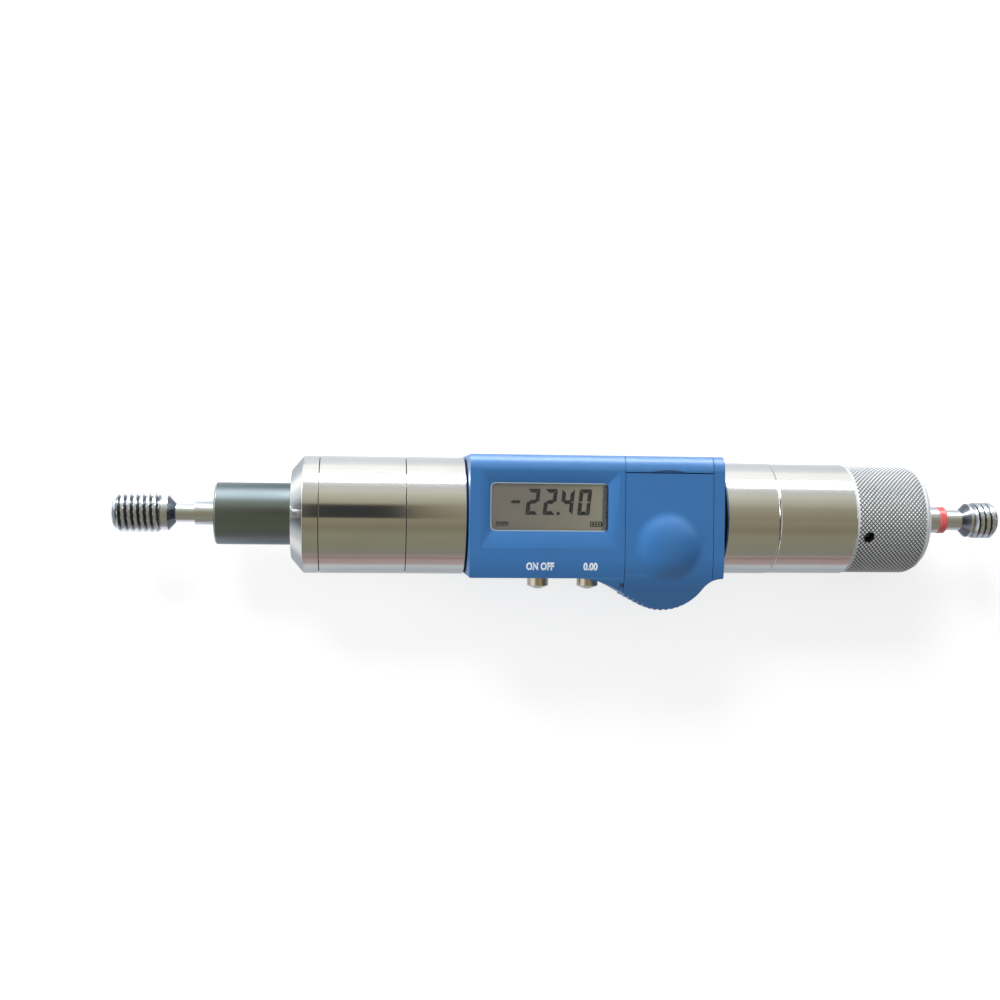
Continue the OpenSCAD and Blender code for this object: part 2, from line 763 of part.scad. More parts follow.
module housing_base() {
    color("steelblue") difference() {
        intersection() {
            bar(housing_l, housing_r, base_outline);
            housing_plan(0, axis_h);
        }
        tube_way();
        for (x = screw_xs, y = screw_ys) translate([x, y, 0]) {
            translate([0, 0, -cut]) cylinder(h = axis_h + 2 * cut, d = screw_d + 2 * push_fit);
            translate([0, 0, -cut])
                cylinder(h = cut + screw_sink + screw_head_t, d = screw_head_d + 2 * push_fit);
        }
        translate([0, 0, -cut]) cylinder(h = axis_h, d = lock_screw_d + 2 * push_fit);
    }
}

// Cap screw along +Z with a hexagon socket
module cap_screw(head_d, head_t, d, length, socket) {
    difference() {
        union() {
            cylinder(h = head_t, d = head_d);
            cylinder(h = length, d = d);
        }
        translate([0, 0, -cut]) cylinder(h = cut + 0.7 * head_t, d = socket, $fn = 6);
    }
}

module housing_screws() {
    color("dimgray") for (x = screw_xs, y = screw_ys) translate([x, y, screw_sink])
        cap_screw(screw_head_d, screw_head_t, screw_d, axis_h + screw_h - screw_sink,
            screw_head_d / 2);
}

module tube_lock_screw() {
    color("dimgray") translate([0, 0, screw_sink]) difference() {
        cylinder(h = axis_h - bore_r - screw_sink - loose_fit, d = lock_screw_d - 2 * push_fit);
        translate([0, 0, -cut]) cylinder(h = cut + 1, d = lock_screw_d / 2, $fn = 6);
    }
}

// Display and electronics
module display_window() {
    color("lightgray", 0.5) translate([0, 0, inner_z]) linear_extrude(skin - recess_depth)
        rounded(window_x - window_len / 2, window_x + window_len / 2, window_y - window_w / 2,
            window_y + window_w / 2, window_r);
}

module display_panel() {
    color("darkkhaki") block(window_x - window_len / 2 - lcd_rim,
        window_x + window_len / 2 + lcd_rim, window_y - window_w / 2 - lcd_rim,
        window_y + window_w / 2 + lcd_rim, lcd_z, inner_z);
}

module display_connectors() {
    for (y = [window_y - window_w / 2 - lcd_rim, window_y + window_w / 2])
        color("hotpink") block(window_x - window_len / 2, window_x + window_len / 2, y,
            y + lcd_rim, strip_z, lcd_z);
}

module main_board() {
    color("seagreen") difference() {
        block(board_x0, board_x1, -board_w / 2, board_w / 2, board_z, strip_z);
        for (x = post_xs) translate([x, post_y, board_z - cut])
            cylinder(h = board_t + 2 * cut, d = board_screw_d + 2 * push_fit);
    }
}

module board_screws() {
    color("dimgray") for (x = post_xs) translate([x, post_y, board_z - board_screw_head])
        cap_screw(board_screw_d + 1.2, board_screw_head, board_screw_d,
            board_screw_head + board_t + strip_t, board_screw_d / 2);
}

module measuring_chip() {
    chip = 5;
    color("black") translate([window_x + 2, window_y - chip / 2, strip_z])
        cube([chip, chip, strip_t - 2 * loose_fit]);
}

module reader_board() {
    color("darkgreen") block(reader_x - reader_len / 2, reader_x + reader_len / 2, -scale_w / 2,
        scale_w / 2, reader_z, board_z);
}

module button_switches() {
    way = stem_d / 2 + run_fit;
    color("dimgray") for (x = button_xs) difference() {
        block(x - switch_w / 2, x + switch_w / 2, switch_y - switch_t, switch_y,
            axis_h + switch_h, board_z);
        toward_y(x, switch_y - switch_t - cut, button_z)
            cylinder(h = cut + 2 * button_travel, r = way);
    }
}

module button_seals() {
    inner = button_d / 2 + run_fit;
    color("black") for (x = button_xs) toward_y(x, -low_inner_y - skin / 2 - seal_t / 2, button_z)
        difference() {
            cylinder(h = seal_t, r = inner + seal_w);
            translate([0, 0, -cut]) cylinder(h = seal_t + 2 * cut, r = inner);
        }
}

module push_button(x) {
    shoulder = -low_y - button_out + button_tip;
    stem_end = switch_y - switch_t + 0.3;
    color("silver") toward_y(x, 0, button_z) rotate_extrude() polygon([[0, shoulder - button_tip],
        [button_flat_d / 2, shoulder - button_tip], [button_d / 2, shoulder],
        [button_d / 2, -low_inner_y + loose_fit], [flange_d / 2, -low_inner_y + loose_fit],
        [flange_d / 2, -low_inner_y + loose_fit + flange_t],
        [stem_d / 2, -low_inner_y + loose_fit + flange_t], [stem_d / 2, stem_end], [0, stem_end]]);
}

module mode_button() {
    push_button(button_xs[0]);
}

module set_button() {
    push_button(button_xs[1]);
}

// Battery drawer, its cell and the contacts
function tangent_angle(p, c, r) =
    atan2(p[1] - c[1], p[0] - c[0]) + acos(r / norm([p[0] - c[0], p[1] - c[1]]));

boss_c = [boss_x, boss_y0];
flank_angle = tangent_angle([drawer_x, seam_y], boss_c, boss_r);
flank_end = boss_c + boss_r * [cos(flank_angle), sin(flank_angle)];
fillet_y = -low_y - fillet_r;
fillet_x = boss_x + sqrt(pow(boss_r + fillet_r, 2) - pow(fillet_y - boss_y0, 2));

// Hollow curve that leads the round end into the housing's lower side
module boss_fillet() {
    difference() {
        polygon([boss_c, [fillet_x, fillet_y], [fillet_x, -low_y]]);
        translate([fillet_x, fillet_y]) circle(fillet_r);
    }
}

// Outline of the drawer's plate and round end
module drawer_outline() {
    x0 = drawer_x + loose_fit;
    x1 = strip_x - loose_fit;
    translate([x0, -low_y]) square([x1 - x0, low_y + port_band_y - 2 * loose_fit]);
    intersection() {
        union() {
            translate(boss_c) circle(boss_r);
            polygon([[drawer_x, -low_y], [drawer_x, seam_y], flank_end, boss_c]);
            boss_fillet();
        }
        translate([x0, -4 * side_y]) square([x1 - x0, 4 * side_y]);
    }
}

// Ribs along the flank and round the end
seam_point = [drawer_x, seam_y];
flank_len = norm(flank_end - seam_point);
rib_side = rib_out - rib_d / 2;

function wall_point(s) =
    s < flank_len
    ? seam_point + (flank_end - seam_point) * s / flank_len
        + rib_side * [cos(flank_angle), sin(flank_angle)]
    : let (a = flank_angle + (s - flank_len) / boss_r * 180 / PI)
        boss_c + (boss_r + rib_side) * [cos(a), sin(a)];

module finger_ribs() {
    for (i = [1 : rib_count]) translate(concat(wall_point(i * rib_pitch), [skirt_z + rib_d]))
        cylinder(h = skirt_h, d = rib_d, $fn = 24);
}

// Bulge over the cell: a shallow round cap on the drawer's plate
module dome() {
    intersection() {
        translate([cell_x, -cell_y, front_z + dome_h - dome_r]) sphere(dome_r);
        block(cell_x - dome_r, cell_x + dome_r, -cell_y - dome_r, dome_r - cell_y, plate_z,
            front_z + dome_h);
    }
}

// Round end of the drawer, open at the back
module drawer_end() {
    difference() {
        translate([0, 0, skirt_z]) linear_extrude(skirt_h) drawer_outline();
        block(drawer_x - cut, strip_x + cut, skirt_y, side_y, skirt_z - cut, front_z + cut);
        behind_front(drawer_t) translate([boss_x, boss_y0, skirt_z - cut])
            cylinder(h = cut + skirt_h, r = boss_r - skin);
    }
}

module battery_drawer() {
    color("steelblue") difference() {
        union() {
            behind_front(0) {
                translate([0, 0, plate_z]) linear_extrude(drawer_t) drawer_outline();
                drawer_end();
            }
            behind_front(rib_drop) finger_ribs();
            block(drawer_x - rail, strip_x + rail, -low_y, port_band_y - 2 * loose_fit, rail_z,
                rail_z + rail_t);
            dome();
            translate([cell_x, -cell_y, plate_z - 1])
                cylinder(h = 1 + drawer_t / 2, d = cell_d + 1.5);
        }
        translate([cell_x, -cell_y, plate_z - 2])
            cylinder(h = 2 + cell_z + cell_t + loose_fit - plate_z, d = cell_d + 2 * loose_fit);
    }
}

module button_cell() {
    color("silver") translate([cell_x, -cell_y, cell_z]) {
        cylinder(h = 0.4, d = cell_d - 2);
        translate([0, 0, 0.4]) cylinder(h = cell_t - 0.4, d = cell_d);
    }
}

module positive_contact() {
    x1 = cell_x - cell_d / 2 - loose_fit;
    color("gold") {
        block(board_x1 - 1, x1, positive_y, positive_y + contact_w, floor_z,
            floor_z + contact_t);
        block(x1 - contact_t, x1, -cell_y - 1, positive_y + contact_w, floor_z + contact_t,
            plate_z - 1.2);
    }
}

module negative_contact() {
    color("gold") block(board_x1 - 1, cell_x, negative_y, negative_y + contact_w, floor_z,
        floor_z + contact_t);
}

// Data port
module port_cover() {
    x0 = drawer_x + loose_fit;
    x1 = strip_x - loose_fit;
    notch_r = pow(notch_len, 2) / 8 / notch_t + notch_t / 2;
    color("steelblue") difference() {
        behind_front(0) block(x0, x1, port_band_y, side_y, port_skirt_z, front_z);
        block(x0 - cut, x1 + cut, -2 * side_y, port_y1 + loose_fit, 0, front_z - port_band_t);
        translate([cell_x, port_band_y + notch_t - notch_r, front_z - notch_sink])
            cylinder(h = notch_sink + cut, r = notch_r);
    }
}

module port_connector() {
    color("black") block(port_mid - port_len / 2 + cut, port_mid + port_len / 2 - cut, port_y0,
        port_y0 + connector_t, port_z, port_z + port_h - 2 * loose_fit);
}

module port_pins() {
    step = (port_len - 4 * cut) / (pin_count - 1);
    color("gold") for (i = [0 : pin_count - 1])
        toward_y(port_mid + (i - (pin_count - 1) / 2) * step, port_y0 + connector_t,
            port_z + port_h / 2)
            cylinder(h = pin_len, d = pin_d);
}

// Depth sleeve and the scale that it carries
module depth_sleeve() {
    color("dimgray") turned([[face_x, sleeve_bore_d / 2], [face_x, sleeve_d / 2 - 2 * edge],
        [face_x + 2 * edge, sleeve_d / 2], [carriage_x0, sleeve_d / 2],
        [carriage_x0, tail_d / 2], [nut_x1, tail_d / 2], [nut_x1, sleeve_bore_d / 2]]);
}

module sleeve_carriage() {
    color("lightsteelblue") difference() {
        union() {
            ring(carriage_x0, carriage_x1, bore_r - run_fit, tail_d / 2 + push_fit);
            block(carriage_x0, carriage_x1, -scale_w / 2, scale_w / 2, axis_h + tail_d / 2 + 0.6,
                axis_h + scale_bar_h);
        }
        scale_screw_holes();
    }
}

module carriage_nut() {
    color("gray") ring(carriage_x1, nut_x1, bore_r - 4 * run_fit, tail_d / 2 + push_fit);
}

scale_screw_xs = [carriage_x0 + carriage_len / 4, carriage_x1 - carriage_len / 4];

module scale_screw_holes() {
    for (x = scale_screw_xs) translate([x, 0, axis_h + tail_d / 2 + 0.4])
        cylinder(h = scale_h - tail_d / 2, d = scale_screw_d + 2 * push_fit);
}

module scale_bar() {
    color("silver") difference() {
        block(scale_x0, scale_x1, -scale_w / 2, scale_w / 2, axis_h + scale_bar_h,
            axis_h + scale_h);
        scale_screw_holes();
    }
}

module scale_strip() {
    color("darkgoldenrod") block(scale_x0, scale_x1, -scale_w / 2, scale_w / 2, axis_h + scale_h,
        axis_h + scale_h + scale_t);
}

module scale_screws() {
    color("dimgray") for (x = scale_screw_xs) translate([x, 0, axis_h + tail_d / 2 + 0.4])
        cylinder(h = scale_h - tail_d / 2 - 0.4, d = scale_screw_d);
}

// Return spring
spring_sides = 6;
spring_rings = 8;
spring_steps = spring_turns * spring_rings;
spring_x0 = nut_x1 + wire_d / 2;
spring_x1 = stop_x - wire_d / 2;

function spring_point(t) =
    let (a = 360 * spring_turns * t)
    [coil_d / 2 * cos(a), coil_d / 2 * sin(a), spring_x0 + (spring_x1 - spring_x0) * t];

function spring_ring(j) =
    let (a = 360 * spring_turns * j / spring_steps,
        c = spring_point(j / spring_steps),
        out = [cos(a), sin(a), 0])
    [for (s = [0 : spring_sides - 1])
        let (b = 360 * s / spring_sides) c + wire_d / 2 * (cos(b) * out + sin(b) * [0, 0, 1])];

// The least gap lies between neighbouring turns
spring_gap = norm(spring_point(0) - spring_point(1 / spring_turns)) - wire_d;
echo(spring_gap = spring_gap);

module return_spring() {
    n = spring_sides;
    last = spring_steps * n;
    points = [for (j = [0 : spring_steps]) each spring_ring(j)];
    walls = [for (j = [0 : spring_steps - 1], s = [0 : n - 1])
        let (a = j * n + s, b = j * n + (s + 1) % n) each quad(a, a + n, b + n, b)];
    caps = [for (s = [1 : n - 2]) each [[0, s, s + 1], [last, last + s + 1, last + s]]];
    color("gray") on_axis(0) polyhedron(points, concat(walls, caps), convexity = 20);
}

module spring_stop() {
    color("gray") ring(stop_x, bearing_a_x, bore_r - push_fit, spindle_collar_d / 2 + 0.4);
}

// Spindle, plugs and grip
module spindle() {
    groove = bearing_b_x + bearing_w;
    color("silver") difference() {
        union() {
            rod(spindle_x0, spindle_x1, spindle_r);
            rod(bearing_a_x - collar_back, bearing_a_x, spindle_collar_d / 2);
        }
        ring(groove, groove + circlip_t + push_fit, spindle_r + cut, spindle_r - 0.4);
        rod(spindle_x0 - cut, spindle_x0 + shank_in + cut, shank_d / 2 + push_fit);
    }
}

module go_plug() {
    root = go_d / 2 - thread_depth * pitch - 0.1;
    thread_end = pilot_len + thread_rim + (go_turns + 1) * pitch;
    cone = thread_end + band_len;
    neck = cone + cone_len;
    step = neck + go_neck_len;
    end = spindle_x0 + shank_in - tip_x;
    color("gainsboro") on_axis(tip_x) thread_plug(go_d / 2, go_turns,
        [[0, root - 0.5], [0.5, root], [pilot_len, root]],
        [[thread_end, root], [cone, root], [neck, go_neck_d / 2], [step, go_neck_d / 2],
            [step + 0.05, shank_d / 2], [end - 0.5, shank_d / 2], [end, shank_d / 2 - 0.5]]);
}

module nogo_plug() {
    root = nogo_d / 2 - thread_depth * pitch - 0.1;
    thread_end = nogo_pilot_len + thread_rim + (nogo_turns + 1) * pitch;
    cone = nogo_tip_x - nogo_cone_x - cone_len;
    neck = nogo_tip_x - nogo_cone_x;
    collar = nogo_tip_x - collar_x;
    seat = nogo_tip_x - knurl_r;
    end = nogo_tip_x - spindle_x1 - 1;
    color("gainsboro") translate([nogo_tip_x, 0, axis_h]) rotate([0, -90, 0])
        thread_plug(nogo_d / 2, nogo_turns, [[0, root - 0.8], [nogo_pilot_len, root - 0.5]],
            [[thread_end, root], [cone, nogo_d / 2 - 0.2], [neck, nogo_neck_d / 2],
                [collar, nogo_neck_d / 2], [collar + 0.02, collar_d / 2],
                [seat - 0.02, collar_d / 2], [seat, shank_d / 2], [end - 0.5, shank_d / 2],
                [end, shank_d / 2 - 0.5]]);
}

module red_ring() {
    color("indianred") tube(collar_x, red_x1, red_ring_d / 2, nogo_neck_d / 2 + push_fit, 0.15,
        0.15);
}

// Radial hole for the pin and the grub screw below it
module radial_hole(r0, r1, d) {
    translate([pin_x, 0, axis_h]) rotate([pin_hole_angle, 0, 0]) translate([0, 0, r0])
        cylinder(h = r1 - r0, d = d);
}

module grip_hub() {
    color("silver") difference() {
        rod(hub_x0, knurl_r, hub_d / 2);
        rod(hub_x0 - cut, spindle_x1 + push_fit, spindle_r + push_fit);
        rod(spindle_x1 - cut, knurl_r + cut, shank_d / 2 + push_fit);
        radial_hole(0, hub_d, grub_d);
    }
}

module hub_grub_screw() {
    color("dimgray") difference() {
        radial_hole(spindle_r, spindle_r + grub_len, grub_d - 2 * push_fit);
        translate([pin_x, 0, axis_h]) rotate([pin_hole_angle, 0, 0])
            translate([0, 0, spindle_r + grub_len - 1])
            cylinder(h = cut + 1, d = grub_d / 2, $fn = 6);
    }
}

module grip_sleeve() {
    color("gainsboro") tube(grip_l, grip_r, grip_d / 2, hub_d / 2 + push_fit, 2 * edge,
        2 * edge);
}

module knurled_ring() {
    color("lightgray") difference() {
        tube(grip_r, knurl_r, knurl_d / 2, hub_d / 2 + push_fit, knurl_lip, knurl_slope);
        radial_hole(0, knurl_d, pin_hole_d);
    }
}

// Bearings
bearing_xs = [bearing_a_x, bearing_b_x];

module race(x, inner, outer) {
    on_axis(x) rotate_extrude() difference() {
        translate([inner, 0]) square([outer - inner, bearing_w]);
        translate([race_r, bearing_w / 2]) circle(ball_d / 2 + race_gap);
    }
}

module bearing_outer_rings() {
    color("gray") for (x = bearing_xs) race(x, race_r + land, bearing_d / 2 - push_fit);
}

module bearing_inner_rings() {
    color("gray") for (x = bearing_xs) race(x, spindle_r + push_fit, race_r - land);
}

module ball_places(x) {
    for (i = [0 : ball_count - 1]) on_axis(x + bearing_w / 2) rotate([0, 0, 360 * i / ball_count])
        translate([race_r, 0, 0]) children();
}

module bearing_balls() {
    color("silver") for (x = bearing_xs) ball_places(x) sphere(d = ball_d);
}

module bearing_cages() {
    color("peru") for (x = bearing_xs) difference() {
        ring(x + bearing_w / 2 - 0.75 * ball_d, x + bearing_w / 2 + 0.75 * ball_d,
            race_r + cage_t / 2, race_r - cage_t / 2);
        ball_places(x) rotate([0, 90, 0])
            cylinder(h = 2 * cage_t, d = ball_d + 2 * race_gap, center = true);
    }
}

module outer_spacer() {
    color("gray") ring(bearing_a_x + bearing_w, bearing_b_x, bearing_d / 2 - push_fit,
        race_r + land);
}

module inner_spacer() {
    color("gray") ring(bearing_a_x + bearing_w, bearing_b_x, race_r - land,
        spindle_r + push_fit);
}

module bearing_retainer() {
    color("gray") ring(retainer_x0, core_x1, bearing_d / 2 - push_fit, race_r + land);
}

module spindle_circlip() {
    groove = bearing_b_x + bearing_w;
    color("gray") ring(groove, groove + circlip_t, race_r - land, spindle_r - 0.4 + push_fit);
}

core_tube();
nose_cap();
nose_wiper();
guide_bush();
front_tube();
middle_tube();
rear_tube();
front_seal();
rear_seal();
housing_cover();
housing_base();
housing_screws();
tube_lock_screw();
display_window();
display_panel();
display_connectors();
main_board();
board_screws();
measuring_chip();
reader_board();
button_switches();
button_seals();
positive_contact();
negative_contact();
port_connector();
port_pins();
spring_stop();
return_spring();
bearing_outer_rings();
outer_spacer();
bearing_retainer();
depth_sleeve();
sleeve_carriage();
carriage_nut();
scale_bar();
scale_strip();
scale_screws();
spindle();
go_plug();
grip_hub();
grip_sleeve();
knurled_ring();
hub_grub_screw();
nogo_plug();
red_ring();
bearing_inner_rings();
inner_spacer();
spindle_circlip();
bearing_balls();
bearing_cages();
mode_button();
set_button();
battery_drawer();
button_cell();
port_cover();
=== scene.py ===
# %% [markdown]
# # A digital thread gauge
# The gauge checks a threaded hole and measures its depth. A GO plug looks out of a dark sliding
# sleeve, a blue housing holds the display, and a knurled grip turns the plugs.
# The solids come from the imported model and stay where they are. This script adds what a camera
# sees: finer turned steel, a knurl, threads, rounded plastic, a lit display and the finishes.

# %% Load the frame
import json
import math
from functools import partial

import bmesh
import bpy
from mathutils import Matrix, Vector


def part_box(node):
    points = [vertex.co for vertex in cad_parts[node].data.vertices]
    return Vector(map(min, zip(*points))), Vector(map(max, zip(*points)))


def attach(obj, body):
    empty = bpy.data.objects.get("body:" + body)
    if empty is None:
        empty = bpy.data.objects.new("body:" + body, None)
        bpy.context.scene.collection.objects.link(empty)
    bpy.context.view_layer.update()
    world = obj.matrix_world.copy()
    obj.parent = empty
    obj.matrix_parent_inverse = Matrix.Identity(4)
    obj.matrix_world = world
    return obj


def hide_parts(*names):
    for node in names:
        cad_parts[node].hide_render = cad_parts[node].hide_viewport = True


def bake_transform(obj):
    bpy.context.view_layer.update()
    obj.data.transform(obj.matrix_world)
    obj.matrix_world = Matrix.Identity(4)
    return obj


MM = 0.001
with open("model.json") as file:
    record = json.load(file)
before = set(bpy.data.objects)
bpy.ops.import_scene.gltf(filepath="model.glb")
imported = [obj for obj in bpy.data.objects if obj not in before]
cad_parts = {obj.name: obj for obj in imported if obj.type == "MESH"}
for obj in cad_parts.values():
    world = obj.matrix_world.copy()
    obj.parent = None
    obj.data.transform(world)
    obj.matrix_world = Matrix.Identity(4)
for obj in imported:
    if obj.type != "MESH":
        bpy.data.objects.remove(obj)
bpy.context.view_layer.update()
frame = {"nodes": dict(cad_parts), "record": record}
axis_height = (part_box("core_tube")[0].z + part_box("core_tube")[1].z) / 2
print("nodes:", len(frame["nodes"]), "axis height in mm:", round(axis_height / MM, 3))

# %% [markdown]
# ## Camera
# The photograph was taken from about 27 cm above the gauge, with the lens over the front tube
# and turned a little towards the grip. A camera is easiest to trust when it is built from its
# own axes: where it looks, what is right and what is up.

# %% Camera axes
camera_distance = 268.6 * MM
camera_place = Vector((-45.4 * MM, 3.3 * MM, axis_height + camera_distance))
look_turn = math.radians(5.8)
frame_roll = math.radians(0.62)
look = Vector((math.sin(look_turn), 0, -math.cos(look_turn)))
level_right = Vector((math.cos(look_turn), 0, math.sin(look_turn)))
level_up = Vector((0, 1, 0))
right = level_right * math.cos(frame_roll) + level_up * math.sin(frame_roll)
up = level_up * math.cos(frame_roll) - level_right * math.sin(frame_roll)
print("camera height in mm:", round(camera_place.z / MM, 1))


# %% Camera
def link(thing):
    bpy.context.scene.collection.objects.link(thing)
    return thing


photo_camera = bpy.data.cameras.new("photo_camera")
photo_camera.sensor_width = 36
photo_camera.lens = 46.8
photo_camera.clip_start = 0.01
camera = link(bpy.data.objects.new("photo_camera", photo_camera))
camera.matrix_world = (
    Matrix.Translation(camera_place) @ Matrix((right, up, -look)).transposed().to_4x4()
)
bpy.context.scene.camera = camera
bpy.context.scene.view_settings.view_transform = "Standard"
print("lens in mm:", round(photo_camera.lens, 1))


# %% [markdown]
# ## Small helpers for node trees
# Materials and Geometry Nodes trees are both made of nodes and links. A few short helpers keep
# the later cells readable: they add a node and feed its sockets with links or numbers, do a sum,
# mix two colours, or bring a value from one range to another.

# %% Node helpers
def feed(tree, socket, value):
    if isinstance(value, bpy.types.NodeSocket):
        tree.links.new(value, socket)
    else:
        socket.default_value = value


def feed_all(tree, node, **values):
    for label, value in values.items():
        feed(tree, node.inputs[label.replace("_", " ")], value)
    return node


def add_node(tree, kind, **values):
    return feed_all(tree, tree.nodes.new(kind), **values)


print("node helpers ready")


# %% Sums, colours and ranges
def calc(tree, operation, *values):
    node = tree.nodes.new("ShaderNodeMath")
    node.operation = operation
    for socket, value in zip(node.inputs, values):
        feed(tree, socket, value)
    return node.outputs[0]


def mix_colours(tree, factor, first, second):
    node = tree.nodes.new("ShaderNodeMix")
    node.data_type = "RGBA"
    feed(tree, node.inputs[0], factor)
    feed(tree, node.inputs[6], first)
    feed(tree, node.inputs[7], second)
    return node.outputs[2]


def ranged(tree, value, low, high, start=0.0, end=1.0, kind="LINEAR"):
    node = add_node(tree, "ShaderNodeMapRange", Value=value, From_Min=start, From_Max=end)
    feed_all(tree, node, To_Min=low, To_Max=high)
    node.interpolation_type = kind
    return node.outputs["Result"]


def soft_step(tree, value, start, end):
    return ranged(tree, value, 0.0, 1.0, start, end, "SMOOTHSTEP")


print("value helpers ready")


# %% [markdown]
# ## Floor
# The gauge lies on a white table. The table is white to the eye, keeps a soft shadow, and is
# what the flanks of the steel mirror. What they mirror is a painted reflection: a glow, brighter
# towards the window side and greyer, then dark red, towards the near side. The glow is seen by
# camera, mirror and glass rays alone, so it adds no light to the gauge.

# %% Glow
def new_finish(name):
    finish = bpy.data.materials.new(name)
    finish.use_nodes = True
    return finish, finish.node_tree, finish.node_tree.nodes["Principled BSDF"]


def place_of(tree):
    return tree.nodes.new("ShaderNodeTexCoord").outputs["Object"]


def split_place(tree):
    return add_node(tree, "ShaderNodeSeparateXYZ", Vector=place_of(tree)).outputs


def colour_ramp(tree, place, low, high, stops):
    ramp = tree.nodes.new("ShaderNodeValToRGB")
    while len(ramp.color_ramp.elements) < len(stops):
        ramp.color_ramp.elements.new(0.5)
    for element, (spot, colour) in zip(ramp.color_ramp.elements, stops):
        element.position = (spot - low) / (high - low)
        element.color = (*colour, 1)
    share = calc(tree, "DIVIDE", calc(tree, "SUBTRACT", place, low), high - low)
    feed(tree, ramp.inputs[0], share)
    return ramp.outputs["Color"]


def new_glow(name, **values):
    paint, tree, shader = new_finish(name)
    paint.cycles.emission_sampling = "NONE"
    feed_all(tree, shader, Specular_IOR_Level=0.0, **values)
    return paint, tree, shader, split_place(tree)


print("glow helpers ready")


# %% Sheets
def mesh_from(bm, name, outward=True):
    if outward:
        bmesh.ops.recalc_face_normals(bm, faces=bm.faces)
    mesh = bpy.data.meshes.new(name)
    bm.to_mesh(mesh)
    bm.free()
    return mesh


def flat_corners(x0, x1, y0, y1, z):
    return ((x0, y0, z), (x1, y0, z), (x1, y1, z), (x0, y1, z))


def sheet_object(name, corners, paint):
    bm = bmesh.new()
    bm.faces.new([bm.verts.new(corner) for corner in corners])
    mesh = mesh_from(bm, name, outward=False)
    mesh.materials.append(paint)
    sheet = link(bpy.data.objects.new(name, mesh))
    return sheet


print("stage helpers ready")

# %% Floor
table_reach = 0.12
# painted reflection: glow colours along Y, seen by mirror rays only
table_glow = [
    (-table_reach, (0.16, 0.05, 0.04)),
    (-0.062, (0.16, 0.05, 0.04)),
    (-0.048, (0.32, 0.36, 0.40)),
    (-0.010, (0.32, 0.36, 0.40)),
    (0.015, (0.42, 0.46, 0.51)),
    (0.030, (0.54, 0.57, 0.61)),
    (0.048, (0.76, 0.78, 0.80)),
    (0.060, (1.00, 1.00, 1.00)),
    (table_reach, (1.00, 1.00, 1.00)),
]
floor_paint, floor_tree, floor_shader, floor_spot = new_glow(
    "white_table", Base_Color=(0.42, 0.42, 0.42, 1), Roughness=0.9
)
painted_table_reflection = colour_ramp(floor_tree, floor_spot["Y"], -table_reach, table_reach, table_glow)
ray = floor_tree.nodes.new("ShaderNodeLightPath").outputs
glow = mix_colours(floor_tree, ray["Is Glossy Ray"], (0.72, 0.72, 0.72, 1), painted_table_reflection)
seen = calc(floor_tree, "MAXIMUM", ray["Is Camera Ray"], ray["Is Glossy Ray"])
seen = calc(floor_tree, "MAXIMUM", seen, ray["Is Transmission Ray"])
feed_all(floor_tree, floor_shader, Emission_Color=glow, Emission_Strength=seen)
floor = sheet_object("table_top", flat_corners(-2, 2, -2, 2, 0), floor_paint)
print("floor:", floor.name)

# %% [markdown]
# ## Light tent
# Polished steel has no colour of its own: it shows the room. The tubes show a bright window
# strip above, a warm beige wall, and a khaki side below. A world that changes with the angle
# round the gauge axis gives these bands to the mirrors, with a white end on the left and a dark
# one on the right. Matt surfaces get an even, neutral light from it, and lamps add the rest.

# %% World
tent_bands = [
    (-180, (0.50, 0.50, 0.50)),
    (-97, (0.50, 0.38, 0.35)),
    (-86, (0.42, 0.35, 0.31)),
    (-80, (0.31, 0.30, 0.26)),
    (-66, (0.31, 0.31, 0.23)),
    (-40, (0.34, 0.33, 0.23)),
    (-24, (0.29, 0.26, 0.18)),
    (-10, (0.35, 0.32, 0.22)),
    (0, (0.35, 0.31, 0.22)),
    (12, (0.40, 0.37, 0.27)),
    (21, (0.46, 0.43, 0.32)),
    (30, (0.58, 0.57, 0.45)),
    (46, (0.78, 0.78, 0.66)),
    (57, (0.80, 0.82, 0.79)),
    (64, (0.95, 0.98, 1.0)),
    (180, (1.0, 1.0, 1.0)),
]
window_from, window_to, window_fade = 67.0, 88.0, 2.0
tent = bpy.data.worlds.new("light_tent")
tent.use_nodes = True
bpy.context.scene.world = tent
tent_tree = tent.node_tree
tent_tree.nodes.clear()
tent_calc = partial(calc, tent_tree)


def lit_sky(colour, strength):
    return add_node(tent_tree, "ShaderNodeBackground", Color=colour, Strength=strength).outputs[0]


def either_sky(*values):
    mixer = tent_tree.nodes.new("ShaderNodeMixShader")
    for socket, value in zip(mixer.inputs, values):
        feed(tent_tree, socket, value)
    return mixer.outputs[0]


direction = tent_tree.nodes.new("ShaderNodeTexCoord").outputs["Generated"]
parts = add_node(tent_tree, "ShaderNodeSeparateXYZ", Vector=direction).outputs
degrees = tent_calc("MULTIPLY", tent_calc("ARCTAN2", parts["Y"], parts["Z"]), 180 / math.pi)
walls = colour_ramp(tent_tree, degrees, -180, 180, tent_bands)
past_low = tent_calc("SUBTRACT", degrees, window_from)
before_high = tent_calc("SUBTRACT", window_to, degrees)
window_share = tent_calc("MINIMUM", tent_calc("MINIMUM", past_low, before_high), window_fade)
window_share = tent_calc("DIVIDE", tent_calc("MAXIMUM", window_share, 0.0), window_fade)
left_share = soft_step(tent_tree, parts["X"], -0.5, -0.75)
right_share = soft_step(tent_tree, parts["X"], 0.55, 0.75)
walls = mix_colours(tent_tree, left_share, walls, (1.0, 1.0, 1.0, 1))
walls = mix_colours(tent_tree, right_share, walls, (0.14, 0.11, 0.08, 1))
mirror_sky = either_sky(window_share, lit_sky(walls, 1.0), lit_sky((1, 1, 1, 1), 11.0))
tent_ray = tent_tree.nodes.new("ShaderNodeLightPath").outputs
room_sky = lit_sky((0.97, 0.985, 1.0, 1), 0.27)
lit = either_sky(tent_ray["Is Glossy Ray"], room_sky, mirror_sky)
looked = tent_calc("MAXIMUM", tent_ray["Is Camera Ray"], tent_ray["Is Transmission Ray"])
